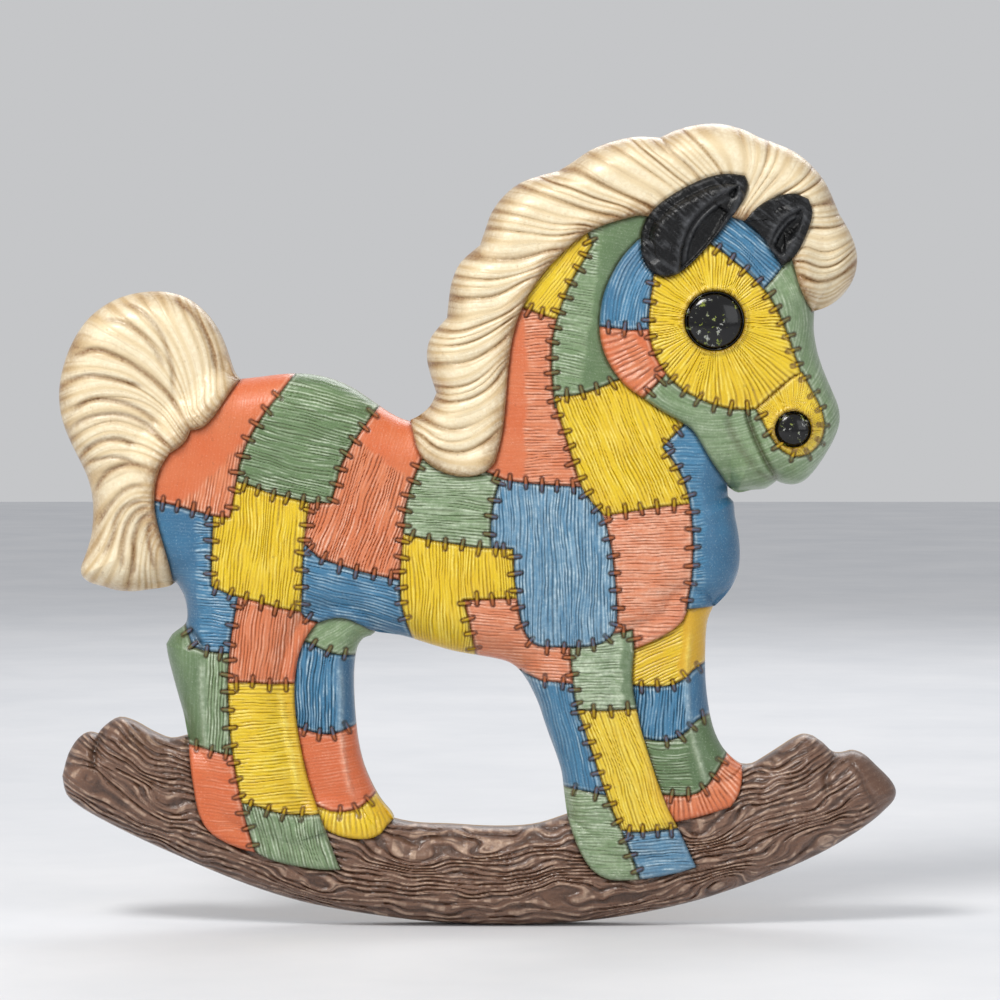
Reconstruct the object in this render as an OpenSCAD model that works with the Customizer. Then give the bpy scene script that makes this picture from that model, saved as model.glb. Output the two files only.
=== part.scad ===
/* Patchwork rocking horse: a cast relief wall plaque with a flat back.
   The frame is in millimetres, +Z up and +X towards the horse's nose. The back face lies on Y = 0,
   the relief stands towards -Y, and the origin is the centre of the keyhole that it hangs by.

   Every outline is drawn on one flat sheet, [x, z] from the rocker's lowest point, and the sheet is
   scaled to the overall size. An outline is a list of runs. A run is a smooth curve from the corner
   where the run before it ended, through its own points, to its last point, which is a corner.
   Groups lie over each other in the order of GROUPS, and pieces within a group in the order of
   PIECES: a piece is its own outline, inside its group's outline, less all that lies over it. */

/* [Overall size] */
// Width over the tail and the rocker's right end
overall_w = 420; // [300:1:600]
// Height from the rocker's lowest point to the top of the mane
overall_h = 402; // [290:1:580]

/* [Relief heights above the back face] */
// Side wall at the outline
edge_wall = 11; // [8:0.5:13]
// Crown of the wooden rocker
rocker_crown = 24; // [18:0.5:30]
// Crown of the two far legs
far_leg_crown = 19; // [14:0.5:26]
// Crown of the body, the neck and the near legs
body_crown = 29; // [22:0.5:38]
// Crown of the tail
tail_crown = 26; // [18:0.5:36]
// Crown of the head
head_crown = 35; // [26:0.5:46]
// Crown of the mane and the forelock
mane_crown = 28; // [20:0.5:38]
// Crown of the near ear
near_ear_crown = 39; // [30:0.5:50]
// Crown of the far ear
far_ear_crown = 35; // [28:0.5:46]
// How far a group stands proud of the group under it
lap = 2; // [1:0.25:4]
// Grid that the relief surface is drawn on
relief_cell = 6.5; // [5:0.5:10]

/* [Back] */
// Thickness of the flat back layer
back_t = 3; // [2:0.5:5]

/* [Eye and nostril] */
// Eye button diameter
eye_d = 29; // [22:0.5:34]
// Nostril button diameter
nostril_d = 17.6; // [12:0.1:21]
// How deep a button sits in its socket
button_seat = 4; // [2:0.5:6]
// How far a button's dome rises over its rim, as a share of its diameter
button_dome = 0.16; // [0.08:0.01:0.3]
// Gap around a button in its socket
button_gap = 0.15; // [0.1:0.05:0.4]

/* [Keyhole hanger] */
// Length of the hanger plate
plate_l = 46; // [40:1:60]
// Width of the hanger plate
plate_w = 18; // [16:0.5:24]
// Thickness of the hanger plate
plate_t = 1.5; // [1:0.1:2.5]
// Gap around the plate in its recess
plate_gap = 0.2; // [0.1:0.05:0.5]
// Hole that the wall screw's head goes through
head_hole_d = 10; // [8:0.5:11]
// Slot that the wall screw's shank hangs in
slot_w = 5; // [4:0.25:6]
// Rise of the slot above the centre of the hole
slot_rise = 12; // [10:0.5:14]
// Depth of the pocket for the screw's head, from the back face
pocket_depth = 8; // [6:0.5:12]
// Margin of the pocket around the keyhole
pocket_margin = 1.5; // [1:0.25:3]
// Distance between the two fixing screws
fixing_pitch = 36; // [32:0.5:50]
// Height of the fixing screws' middle above the keyhole
fixing_rise = 3; // [0:0.5:6]
// Shank diameter of a fixing screw
fixing_d = 3; // [2:0.25:4]
// Head diameter of a fixing screw
fixing_head_d = 6; // [5:0.25:7]
// Length of a fixing screw
fixing_l = 9; // [6:0.5:12]
// Gap around a fixing screw's shank in the plate
fixing_gap = 0.1; // [0.05:0.05:0.3]

/* [Hidden] */
drawn_w = 420;
drawn_h = 402;
hanger_at = [-4, 285];   // the keyhole on the sheet, over the plaque's centre of mass
curve_steps = 3;         // straight steps in each span of a curve
lap_round = 4;           // width of the rounded edge where one group laps another
far_out = 60;            // longer than any relief height
skim = 1;                // how far a cutter passes a face
lowest_relief = back_t + 1; // the relief surface outside the outlines goes no lower
close_slit = 0.2;        // slits up to twice this wide in the back layer are closed
driver_slot = 0.8;       // width of a fixing screw's driver slot, which is half as deep

rust = [0.80, 0.36, 0.22];
green = [0.42, 0.53, 0.38];
blue = [0.22, 0.42, 0.60];
yellow = [0.91, 0.76, 0.16];
cream = [0.89, 0.80, 0.62];
bark = [0.36, 0.24, 0.18];
black = [0.07, 0.07, 0.08];
tan = [0.62, 0.50, 0.36];
steel = [0.72, 0.73, 0.75];

// ---- Outlines of the groups ----

rocker_outline = [
    [[-217, 86], [-212, 94], [-207, 96.5], [-202.5, 95.5]],
    [[-199, 100], [-192, 104], [-184, 102], [-175, 97], [-166, 93.5], [-158, 95]],
    [[-100, 62], [-57, 54]],
    [[-50, 52], [-40, 50.5], [-25, 50], [-8, 49], [8, 49], [20, 50.5], [31, 54]],
    [[80, 70], [121, 80.5]],
    [[127, 80.5], [134, 84.5], [141, 89], [148, 93.5], [153, 95.5], [158, 94.5]],
    [[163, 91], [168, 86.5], [173, 86.3], [178, 87.3], [184, 85], [190, 79.5], [196, 73.5], [199, 68],
     [198, 63], [193, 57.5], [186, 51.5], [175, 44], [160, 35.5], [140, 26.5], [120, 19], [100, 12.5],
     [80, 7.7], [60, 4], [40, 1.6], [20, 0.3], [0, 0], [-20, 0.6], [-40, 2], [-60, 4.5], [-80, 7.6],
     [-100, 11.8], [-120, 17.8], [-140, 25.4], [-160, 34], [-180, 43], [-198, 52], [-211, 59.5],
     [-218, 66], [-220, 75]]];

far_hind_outline = [
    [[-63, 147.2], [-68.5, 144.5], [-72, 139], [-73.4, 130], [-73.6, 120], [-73.2, 110], [-72.4, 100],
     [-71, 90], [-68.5, 80], [-64.5, 70.5], [-60, 62.5], [-55, 56.5], [-53.5, 53.5]],
    [[-57, 50.5], [-60, 47], [-66, 45], [-74, 45.2], [-81, 46.8], [-88, 50]],
    [[-112, 60]],
    [[-112, 158]],
    [[-60, 158]]];

far_fore_outline = [
    [[107.5, 161.5]],
    [[104.3, 154], [103.2, 144], [103, 130], [103.6, 119], [105.3, 107], [108, 97], [112.5, 88.5],
     [118, 82.8], [121.5, 80.5]],
    [[121, 74], [119, 67], [115, 61]],
    [[105, 57.7], [96, 55.3], [86, 53]],
    [[60, 60]],
    [[52, 162]]];

near_outline = [
    [[-138, 273.8]],
    [[-129, 274.6], [-120, 275.6], [-108, 277], [-97, 277], [-86, 275], [-75, 270.5], [-65, 264],
     [-55, 257.3], [-48, 254], [-42, 252.5]],
    [[-25, 262]],
    [[-14, 296], [-4, 320], [12, 343], [36, 357], [62, 362]],
    [[84, 360]],
    [[100, 330], [122, 262], [114, 221], [117, 213], [117.8, 206], [119.5, 197], [120.3, 188], [119.4, 178],
     [115.5, 169.5], [107.5, 161]],
    [[93.3, 160]],
    [[91.5, 155], [87, 150.2], [80, 146], [73, 142.6], [67, 140]],
    [[66, 130], [66.3, 120], [68.2, 110], [70.3, 100], [73, 91], [76, 81.5], [79.3, 72], [83, 62],
     [87.5, 53], [91, 46], [94.5, 38.5], [98, 31]],
    [[90, 28.3], [82, 26.6], [73, 25], [62, 24.2], [55, 24.6], [50, 26.4]],
    [[45, 30.5], [40.5, 37.5], [36.8, 46], [34, 55], [32.5, 65], [31, 77], [28.3, 86], [25, 95],
     [22.2, 103], [19.6, 111], [16.5, 118], [13, 124.3], [8.5, 129.8], [3, 133], [-5, 134.9], [-13, 136.2],
     [-24, 138.3], [-36, 141.8], [-48, 145.6], [-56, 147.2], [-63, 148.3], [-70, 152], [-77, 155],
     [-84, 155], [-91.5, 152.7]],
    [[-95.5, 147.5], [-99.3, 140], [-101.6, 131], [-102.6, 120], [-102.2, 109], [-100.8, 98],
     [-98.8, 87], [-96.3, 76], [-93, 65.5], [-89.5, 56], [-86.3, 47], [-83, 38], [-79.7, 29.7]],
    [[-88, 29.5], [-97, 30.6], [-107, 32.4], [-115, 34.8], [-121.5, 38]],
    [[-129, 40], [-137, 43.2], [-143.5, 47.2], [-148, 52.5], [-151, 60], [-153, 71], [-154.6, 82],
     [-156, 93], [-158, 104], [-161, 114], [-164, 125], [-166.5, 135], [-167.5, 141.5]],
    [[-164.5, 146.5], [-160.5, 149.5], [-157.3, 153], [-157, 159], [-158.6, 166], [-162, 172]],
    [[-174, 182], [-186, 205], [-180, 240]]];

tail_outline = [
    [[-133.5, 278], [-137.5, 290], [-142, 300], [-148.5, 308.5], [-157, 315], [-167, 318],
     [-178, 318], [-189, 315.6], [-199, 310.6], [-207.5, 303], [-214, 293], [-218.5, 281.5], [-220.8, 269],
     [-220, 257], [-216.5, 246], [-211.5, 235.5], [-207, 226], [-204.5, 216.5], [-204, 206], [-205, 196],
     [-207.7, 187], [-210.2, 180], [-209.5, 175.5], [-205.5, 172.3], [-200, 170.8]],
    [[-192, 168.5], [-183, 168], [-174, 169.4], [-166, 170.8], [-163.6, 172]],
    [[-164.5, 181], [-167, 191.5], [-170, 202], [-171.6, 212], [-171, 222], [-168.5, 230.5], [-164, 237.6]],
    [[-159.5, 240.5], [-156, 243.8], [-153.6, 249]],
    [[-150, 249.6], [-146, 251.5], [-140.5, 258], [-135.5, 266], [-130, 274]]];

head_outline = [
    [[61, 335.5], [55.5, 326.5], [51.5, 317], [49.6, 307], [49.4, 297], [51.8, 287], [56.5, 278],
     [63, 270.5], [71, 265], [80, 258.8], [88, 254.2], [95, 249.5], [100, 242.2], [104.5, 234.5],
     [109.5, 227.3], [115, 220]],
    [[119, 217.8], [126, 219], [133, 219.6], [138.6, 223.5]],
    [[142, 222.2], [147.5, 221.7], [153, 224], [158.5, 230], [163.5, 237.5], [167.5, 245], [170, 253],
     [169.3, 261], [165.6, 270], [161.6, 279.5], [158.6, 289], [157, 299], [157.2, 308]],
    [[152, 330], [140, 348], [118, 357], [92, 358], [68, 343]]];

// The mane's lower edge runs behind the ears, and its outer edge swells at each lock.
mane_outline = [
    [[-40, 256.5], [-35, 261], [-31.8, 267.5]],
    [[-34.6, 276], [-36.6, 285], [-35.4, 293.5], [-31, 300], [-26.5, 305]],
    [[-25.6, 314], [-24, 323.5], [-19.5, 333], [-10, 341.3]],
    [[-7.4, 349], [-4, 358], [2, 366], [10, 372.3], [20, 376], [29, 378.3]],
    [[36, 382.6], [45, 388.6], [56, 393], [68, 395.4], [80, 395]],
    [[88, 398.7], [99, 401.4], [110, 401.8], [121, 399.2], [129, 395.3]],
    [[138, 392], [147, 388], [155, 381.8], [162, 373.5], [166.5, 364.5], [169.5, 357]],
    [[173.5, 350.5], [177.3, 342], [178.7, 333], [176.3, 323.5], [170.5, 315.5], [163, 310.5], [155.5, 308]],
    [[151, 314], [147.4, 322], [145, 331], [140, 346]],
    [[119, 353]],
    [[95, 359], [80, 353]],
    [[70, 355.4], [60, 353.3], [49, 349.7], [40, 344.7], [31, 337], [23, 328.5], [16, 319], [10.5, 308.5],
     [6.8, 297], [4.6, 284], [3.4, 270], [2.2, 256], [0.4, 244], [-2.6, 233]],
    [[-8, 228], [-16, 226], [-25, 227], [-33, 230.6], [-38.8, 235.5], [-42, 243], [-44.8, 254]]];

near_ear_outline = [
    [[122.8, 370], [120.5, 363.5], [115.5, 356], [109, 347.5], [102, 339.3], [95, 332], [88, 326.6],
     [81, 324.8], [75, 327.2], [71, 332.8], [69.5, 341], [70.8, 350], [75.5, 358], [83, 364.2],
     [92, 369.5], [102, 374], [112, 376], [121, 375]]];

far_ear_outline = [
    [[154.6, 357], [152.5, 348.5], [148.5, 340], [143.5, 333], [138.8, 330.3]],
    [[135, 336], [130, 343.5], [125, 348.5], [120.3, 352]],
    [[127, 359.3], [136, 364.5], [145, 366.2], [152.5, 363.5]]];

// A group is [outline, crown, width of its rounded edge].
GROUPS = [
    [rocker_outline, rocker_crown, 22],
    [far_hind_outline, far_leg_crown, 13],
    [far_fore_outline, far_leg_crown, 13],
    [near_outline, body_crown, 24],
    [tail_outline, tail_crown, 26],
    [head_outline, head_crown, 18],
    [mane_outline, mane_crown, 20],
    [near_ear_outline, near_ear_crown, 12],
    [far_ear_outline, far_ear_crown, 10]];
ROCKER = 0;
FAR_HIND = 1;
FAR_FORE = 2;
NEAR = 3;
TAIL = 4;
HEAD = 5;
MANE = 6;
NEAR_EAR = 7;
FAR_EAR = 8;

// A piece is [name, group, colour, outline], and no outline means the whole group. Only the edges
// that lie over an earlier piece are seams: the others pass under later pieces or out of the group.
PIECES = [
    ["rocker", ROCKER, bark, []],

    ["far_hind_green", FAR_HIND, green, []],
    ["far_hind_blue", FAR_HIND, blue,
     [[[-98, 143.6], [-91, 140.6], [-84, 137.6], [-76, 136.4], [-68, 136.4]], [[-50, 40]], [[-115, 40]],
      [[-115, 146]]]],
    ["far_hind_rust", FAR_HIND, rust,
     [[[-103, 101], [-94, 98.2], [-86, 97], [-79, 98.6], [-68, 103]], [[-50, 40]], [[-115, 40]],
      [[-115, 102]]]],
    ["far_hind_yellow", FAR_HIND, yellow,
     [[[-92, 61], [-84, 58.8], [-76, 58.6], [-69, 61], [-60, 69]], [[-45, 40]], [[-115, 40]],
      [[-115, 62]]]],

    ["far_fore_yellow", FAR_FORE, yellow, []],
    ["far_fore_blue", FAR_FORE, blue,
     [[[66, 121.8], [76, 121.2], [85, 121.8], [92, 125.2], [98, 130.5], [108, 135]], [[135, 135]],
      [[135, 40]], [[45, 40]], [[45, 122]]]],
    ["far_fore_green", FAR_FORE, green,
     [[[70, 95], [80, 94], [88, 95.3], [94, 99.6], [99, 104.6], [112, 109]], [[135, 109]],
      [[135, 40]], [[45, 40]], [[45, 95]]]],
    ["far_fore_rust", FAR_FORE, rust,
     [[[80, 67], [90, 66.3], [98, 67.8], [104, 72.3], [109, 79.5], [116, 90]], [[135, 90]],
      [[135, 40]], [[45, 40]], [[45, 67]]]],

    ["hip_blue", NEAR, blue, [[[-180, 215]], [[-128, 215]], [[-128, 130]], [[-180, 130]]]],
    ["back_rust", NEAR, rust, [[[-101, 290]], [[-30, 290]], [[-30, 165]], [[-101, 165]]]],
    ["flank_blue", NEAR, blue,
     [[[-99, 189], [-90, 185.8], [-80, 182.2], [-66, 178], [-46, 174]], [[-40, 135]], [[-102, 135]]]],
    ["hind_rust", NEAR, rust, [[[-175, 96]], [[-115, 96]], [[-115, 25]], [[-175, 25]]]],
    ["hind_green", NEAR, green,
     [[[-153, 141.3]], [[-147, 139.4], [-140, 138.4], [-130, 138]], [[-130, 87]],
      [[-140, 88.3], [-150, 90.8], [-165, 93]], [[-180, 150]], [[-158.5, 153.5]]]],
    ["thigh_rust", NEAR, rust,
     [[[-131.6, 158], [-133.4, 149], [-134.6, 138], [-135.4, 123.4]], [[-130, 118]], [[-85, 118]],
      [[-85, 152]], [[-92, 153.4]], [[-97, 155.4], [-99, 158.6]], [[-99, 170]], [[-129.5, 170]]]],
    ["hind_green_foot", NEAR, green,
     [[[-128.6, 64]], [[-127, 55.5], [-124.8, 47], [-121.3, 36]], [[-115, 20]], [[-70, 20]], [[-70, 64]]]],
    ["hind_yellow", NEAR, yellow,
     [[[-135.4, 123.4]], [[-125, 123.6], [-114, 122.6], [-98, 122.6]], [[-85, 58.5]],
      [[-92, 57.4], [-101, 57.2], [-112, 58.8], [-121, 61.8], [-128.8, 63.4]],
      [[-131, 75], [-133.2, 88], [-134.8, 104], [-135.4, 123.4]]]],
    ["rump_green", NEAR, green,
     [[[-120, 290]], [[-50, 280]], [[-60, 261.5]],
      [[-67, 251.4], [-74, 241], [-79, 231], [-81.5, 221.5], [-84, 213]], [[-98, 213]], [[-140, 213]]]],
    ["haunch_yellow", NEAR, yellow,
     [[[-131, 223.8]], [[-122, 220.8], [-112, 217.3], [-94.5, 213]],
      [[-96.4, 201], [-97.8, 188], [-98.2, 174], [-99, 158.6]],
      [[-110, 160.8], [-122, 164.2], [-134, 167.4], [-143.4, 171.6]],
      [[-143.4, 183], [-142.8, 196], [-142.4, 210]], [[-138, 224]]]],
    ["rump_rust", NEAR, rust,
     [[[-102, 278]], [[-109, 268], [-116, 258.6], [-123, 247.6], [-128, 236.6], [-130.6, 225],
      [-132.4, 214], [-134, 205.6]], [[-142, 206.4], [-152, 209], [-162, 211.8], [-176, 215]],
      [[-176, 300]], [[-102, 300]]]],
    ["withers_green", NEAR, green,
     [[[-36, 240]], [[-42, 227], [-45.6, 216], [-47.6, 206], [-48.2, 190]], [[10, 185]], [[10, 240]]]],
    ["belly_yellow", NEAR, yellow,
     [[[-48.1, 197.6]], [[-37, 195], [-24, 192.8], [-10, 190.8], [12, 190]], [[12, 130]], [[-41, 130]],
      [[-43.6, 144], [-47, 154], [-49.2, 164], [-49.8, 175], [-49, 186], [-48.1, 197.6]]]],
    ["belly_rust", NEAR, rust,
     [[[-18, 164.6]], [[-8, 165], [2, 165.4], [12, 165.6]], [[40, 160]], [[40, 118]], [[-9, 125]],
      [[-12, 136.5], [-13.8, 146], [-15.8, 156], [-18, 164.6]]]],
    ["neck_rust", NEAR, rust,
     [[[-10, 320]], [[32, 320]], [[46, 215]], [[3, 215]], [[3, 224]], [[-8, 229]]]],
    ["neck_green", NEAR, green,
     [[[20, 370]], [[90, 370]], [[90, 260]], [[27.2, 260]],
      [[26.2, 271], [25.5, 282], [26, 294], [28.2, 304]], [[20, 330]]]],
    ["neck_yellow_top", NEAR, yellow,
     [[[42, 350]], [[45.6, 341]], [[40.5, 331.6], [35, 322], [31, 312.5], [28.2, 304]],
      [[20, 306.6], [6, 312]], [[6, 350]]]],
    ["chest_rust", NEAR, rust, [[[45, 220]], [[100, 220]], [[100, 130]], [[45, 130]]]],
    ["fore_blue", NEAR, blue, [[[5, 125.3], [20, 124.2], [40, 122.8]], [[70, 60]], [[20, 60]]]],
    ["fore_green", NEAR, green,
     [[[34.6, 150]], [[34.8, 141], [35.6, 130], [37, 117], [39.6, 105]], [[80, 105]], [[70, 136]],
      [[67, 140]], [[66, 149.6]], [[57, 148]]]],
    ["fore_green_foot", NEAR, green,
     [[[25, 70.5]], [[35, 70], [44, 68.8], [56, 66.6]], [[80, 30]], [[80, 15]], [[25, 15]]]],
    ["fore_blue_foot", NEAR, blue,
     [[[60.4, 50.5]], [[64, 41], [67.4, 32], [71.5, 20]], [[110, 20]], [[95, 55]]]],
    ["fore_yellow", NEAR, yellow,
     [[[38.9, 109.8]], [[54, 109.4], [75, 110.6]], [[98, 51.5]], [[82, 49.8], [70, 48.8], [60.4, 49.8]],
      [[56, 59.5], [51.5, 71.5], [47.3, 84], [43, 97], [38.9, 109.8]]]],
    ["shoulder_blue", NEAR, blue,
     [[[0, 224.6]], [[12, 223], [26, 221.8], [40.5, 221]], [[50, 209], [54, 197], [56.2, 184], [57.6, 170],
      [58.3, 157], [56.4, 148.2], [50, 143], [40, 141.2], [28, 141.2], [19, 141.8], [13.6, 146.4],
      [10.2, 155], [8.4, 166], [7, 178], [6.6, 190]], [[-4.2, 190.7]],
      [[-4.6, 201], [-3.4, 212], [0, 224.6]]]],
    ["neck_yellow", NEAR, yellow,
     [[[27, 265.8]], [[37, 266.4], [47, 269.2], [62, 275.5]], [[110, 265]], [[110, 213]], [[94, 212.6]],
      [[80, 211], [66, 208.8], [51.8, 206.6]],
      [[45.6, 213.4], [40.4, 221.2], [36, 234.6], [32.2, 247], [29, 257], [27, 265.8]]]],
    ["chest_blue", NEAR, blue,
     [[[80.6, 240.6]], [[86, 233.6], [91, 224.4], [94.2, 212.6], [95.6, 200], [95.8, 187], [95, 173],
      [93, 160.4], [93, 150]], [[135, 150]], [[135, 262]], [[91, 262]], [[91, 251.5]]]],

    ["tail", TAIL, cream, []],

    ["jaw_green", HEAD, green, []],
    ["cheek_blue", HEAD, blue, [[[40, 350]], [[82, 350]], [[82, 290]], [[40, 290]]]],
    ["cheek_rust", HEAD, rust,
     [[[45, 301]], [[57, 299.6], [66, 298.6], [78, 299.6]], [[90, 284]], [[83, 278]],
      [[77, 271.4], [69, 263]], [[60, 255]], [[40, 270]]]],
    ["forehead_blue", HEAD, blue,
     [[[99, 350]], [[119, 362]], [[142, 350]], [[141, 332]], [[137.5, 327]], [[130.5, 319]], [[105, 322]]]],
    ["face_yellow", HEAD, yellow,
     [[[78, 330], [75.2, 319], [73.8, 309], [73.6, 299], [75.6, 289], [80.4, 279.5], [87.4, 271.5],
      [96.6, 265.5], [107, 261.4], [117, 259.4], [127, 259.6]], [[139, 262], [150, 275]],
      [[146, 286], [142.2, 296.5], [138, 306.5], [132.4, 316], [125, 324.6], [116, 332.2], [107, 339.6]],
      [[95, 345]]]],
    ["muzzle_yellow", HEAD, yellow,
     [[[130.6, 252], [134.6, 245], [139.6, 239], [146, 236.2], [153, 237.6], [158.6, 242.6], [160.8, 250],
      [159.4, 259], [154.6, 268.6], [149.6, 278]], [[143.6, 274.4], [136, 268], [126.6, 259.7]]]],

    ["mane", MANE, cream, []],
    ["forelock", MANE, cream,
     [[[80, 395]], [[86, 386], [95, 378], [103, 366], [104, 350]], [[118, 290]], [[200, 290]],
      [[200, 415]], [[80, 415]]]],

    ["near_ear", NEAR_EAR, black, []],
    ["far_ear", FAR_EAR, black, []]];

eye_at = [106, 303.2];
nostril_at = [145, 249.6];

// ---- Curves on the sheet ----

function on_sheet(p) = [p[0] * overall_w / drawn_w, p[1] * overall_h / drawn_h];
function last(list) = list[len(list) - 1];

// The point at share t of the span from b to c, on a smooth curve through a, b, c and d.
function on_curve(a, b, c, d, t) =
    0.5 * (2 * b + (c - a) * t + (2 * a - 5 * b + 4 * c - d) * t * t + (3 * b - a - 3 * c + d) * t * t * t);

// A run's points from its start up to, but not including, its last one.
function along(points, steps) =
    len(points) == 2 ? [points[0]] :
    [for (i = [0:len(points) - 2], s = [0:steps - 1])
        on_curve(points[max(i - 1, 0)], points[i], points[i + 1], points[min(i + 2, len(points) - 1)],
                 s / steps)];

function trace(runs, steps) =
    [for (i = [0:len(runs) - 1])
        let (before = runs[(i + len(runs) - 1) % len(runs)])
        for (p = along(concat([last(before)], runs[i]), steps)) on_sheet(p)];

traced = [for (group = GROUPS) trace(group[0], curve_steps)];
// The relief's distances are measured to the outlines without their extra curve steps.
rough = [for (group = GROUPS) trace(group[0], 1)];
piece_traced = [for (piece = PIECES) trace(len(piece[3]) ? piece[3] : GROUPS[piece[1]][0], curve_steps)];

function lows(points) = [min([for (p = points) p[0]]), min([for (p = points) p[1]])];
function highs(points) = [max([for (p = points) p[0]]), max([for (p = points) p[1]])];
function boxes_meet(a, b) =
    let (al = lows(a), ah = highs(a), bl = lows(b), bh = highs(b))
    al[0] < bh[0] && bl[0] < ah[0] && al[1] < bh[1] && bl[1] < ah[1];

// ---- The relief surface ----

function to_edge(p, a, b) =
    let (ab = b - a, t = max(0, min(1, (p - a) * ab / (ab * ab)))) norm(p - a - t * ab);

function is_inside(p, outline) =
    len([for (i = [0:len(outline) - 1])
        let (a = outline[i], b = outline[(i + 1) % len(outline)])
        if ((a[1] > p[1]) != (b[1] > p[1]) && p[0] < a[0] + (b[0] - a[0]) * (p[1] - a[1]) / (b[1] - a[1])) 1])
    % 2 == 1;

// How far a point is inside an outline, and less than 0 outside it.
function depth(p, outline) =
    (is_inside(p, outline) ? 1 : -1)
    * min([for (i = [0:len(outline) - 1]) to_edge(p, outline[i], outline[(i + 1) % len(outline)])]);

// A rounded edge's rise from 0 to 1. Outside the outline it runs on downhill.
function rounded(t) = t >= 1 ? 1 : t < 0 ? t * PI / 2 : sin(90 * t);

// Height of a group's surface at a point: its own rounded crown, or the surface under it plus the lap.
function height_of(group, p) =
    let (d = depth(p, rough[group]),
         own = edge_wall + (GROUPS[group][1] - edge_wall) * rounded(d / GROUPS[group][2]),
         under = height_below(group - 1, p))
    max(own, lowest_relief, under + (under && d > 0 ? lap * rounded(d / lap_round) : 0));

// Height of the topmost surface among the groups up to this one, and 0 where there is none.
function height_below(group, p) =
    group < 0 ? 0 : is_inside(p, rough[group]) ? height_of(group, p) : height_below(group - 1, p);

// The solid under a group's surface, over a box on the sheet.
module relief_over(group, low, high) {
    nx = ceil((high[0] - low[0]) / relief_cell);
    nz = ceil((high[1] - low[1]) / relief_cell);
    step = [(high[0] - low[0]) / nx, (high[1] - low[1]) / nz];
    top = [for (j = [0:nz], i = [0:nx])
        let (p = [low[0] + i * step[0], low[1] + j * step[1]]) [p[0], p[1], height_of(group, p)]];
    rim = concat([for (i = [0:nx - 1]) i], [for (j = [0:nz - 1]) j * (nx + 1) + nx],
                 [for (i = [nx:-1:1]) nz * (nx + 1) + i], [for (j = [nz:-1:1]) j * (nx + 1)]);
    count = len(rim);
    base = len(top);
    floor_rim = [for (k = rim) [top[k][0], top[k][1], back_t]];
    middle = [(low[0] + high[0]) / 2, (low[1] + high[1]) / 2, back_t];
    polyhedron(
        points = concat(top, floor_rim, [middle]),
        faces = concat(
            [for (j = [0:nz - 1], i = [0:nx - 1]) let (a = j * (nx + 1) + i) each
                [[a, a + nx + 1, a + nx + 2], [a, a + nx + 2, a + 1]]],
            [for (k = [0:count - 1]) let (n = (k + 1) % count) each
                [[rim[k], rim[n], base + n], [rim[k], base + n, base + k]]],
            [for (k = [0:count - 1]) [base + k, base + (k + 1) % count, base + count]]),
        convexity = 8);
}

// ---- From the sheet to the plaque's frame ----

hanger = on_sheet(hanger_at);
module stand_up() translate([-hanger[0], 0, -hanger[1]]) rotate([90, 0, 0]) children();

// What shows of one piece on the sheet.
module region(index) {
    group = PIECES[index][1];
    difference() {
        intersection() {
            polygon(traced[group]);
            polygon(piece_traced[index]);
        }
        for (j = [index + 1:1:len(PIECES) - 1])
            if (PIECES[j][1] == group && boxes_meet(piece_traced[index], piece_traced[j]))
                polygon(piece_traced[j]);
        for (g = [group + 1:1:len(GROUPS) - 1])
            if (boxes_meet(piece_traced[index], traced[g])) polygon(traced[g]);
    }
}

module relief_piece(index) {
    group = PIECES[index][1];
    low = [for (k = [0, 1]) max(lows(traced[group])[k], lows(piece_traced[index])[k]) - skim];
    high = [for (k = [0, 1]) min(highs(traced[group])[k], highs(piece_traced[index])[k]) + skim];
    color(PIECES[index][2]) stand_up() difference() {
        intersection() {
            relief_over(group, low, high);
            translate([0, 0, back_t]) linear_extrude(far_out) region(index);
        }
        if (PIECES[index][0] == "face_yellow") socket(eye_at, eye_d);
        if (PIECES[index][0] == "muzzle_yellow") socket(nostril_at, nostril_d);
        if (PIECES[index][0] == "mane") hanger_pocket();
    }
}

// ---- Eye and nostril buttons ----

function seat_height(at) = height_of(HEAD, on_sheet(at)) - button_seat;

module socket(at, d)
    translate([each on_sheet(at), seat_height(at)]) cylinder(d = d + 2 * button_gap, h = far_out, $fn = 64);

// A button is a round base with a shallow domed face.
module button(at, d) {
    rise = button_dome * d;
    ball_r = (rise * rise + d * d / 4) / (2 * rise);
    color(black) stand_up() translate([each on_sheet(at), seat_height(at)]) {
        cylinder(d = d, h = button_seat, $fn = 64);
        translate([0, 0, button_seat]) intersection() {
            translate([0, 0, rise - ball_r]) sphere(r = ball_r, $fn = 96);
            cylinder(d = d, h = rise + skim, $fn = 64);
        }
    }
}

// ---- Back layer and hanger ----

module keyhole(grow) {
    circle(d = head_hole_d + 2 * grow, $fn = 64);
    translate([0, slot_rise]) circle(d = slot_w + 2 * grow, $fn = 48);
    translate([-slot_w / 2 - grow, 0]) square([slot_w + 2 * grow, slot_rise]);
}

// Everything that the hanger needs cut out of the plaque, on the sheet.
module hanger_pocket() translate([hanger[0], hanger[1], 0]) {
    translate([-plate_w / 2 - plate_gap, fixing_rise - plate_l / 2 - plate_gap, -skim])
        cube([plate_w + 2 * plate_gap, plate_l + 2 * plate_gap, plate_t + skim]);
    translate([0, 0, -skim]) linear_extrude(pocket_depth + skim) keyhole(pocket_margin);
    for (side = [-1, 1]) translate([0, fixing_rise + side * fixing_pitch / 2, 0])
        cylinder(d = fixing_d, h = fixing_l, $fn = 32);
}

module back_plate() color(tan) stand_up() difference() {
    linear_extrude(back_t) offset(delta = -close_slit) offset(delta = close_slit) union() {
        for (outline = traced) polygon(outline);
    }
    hanger_pocket();
}

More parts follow.
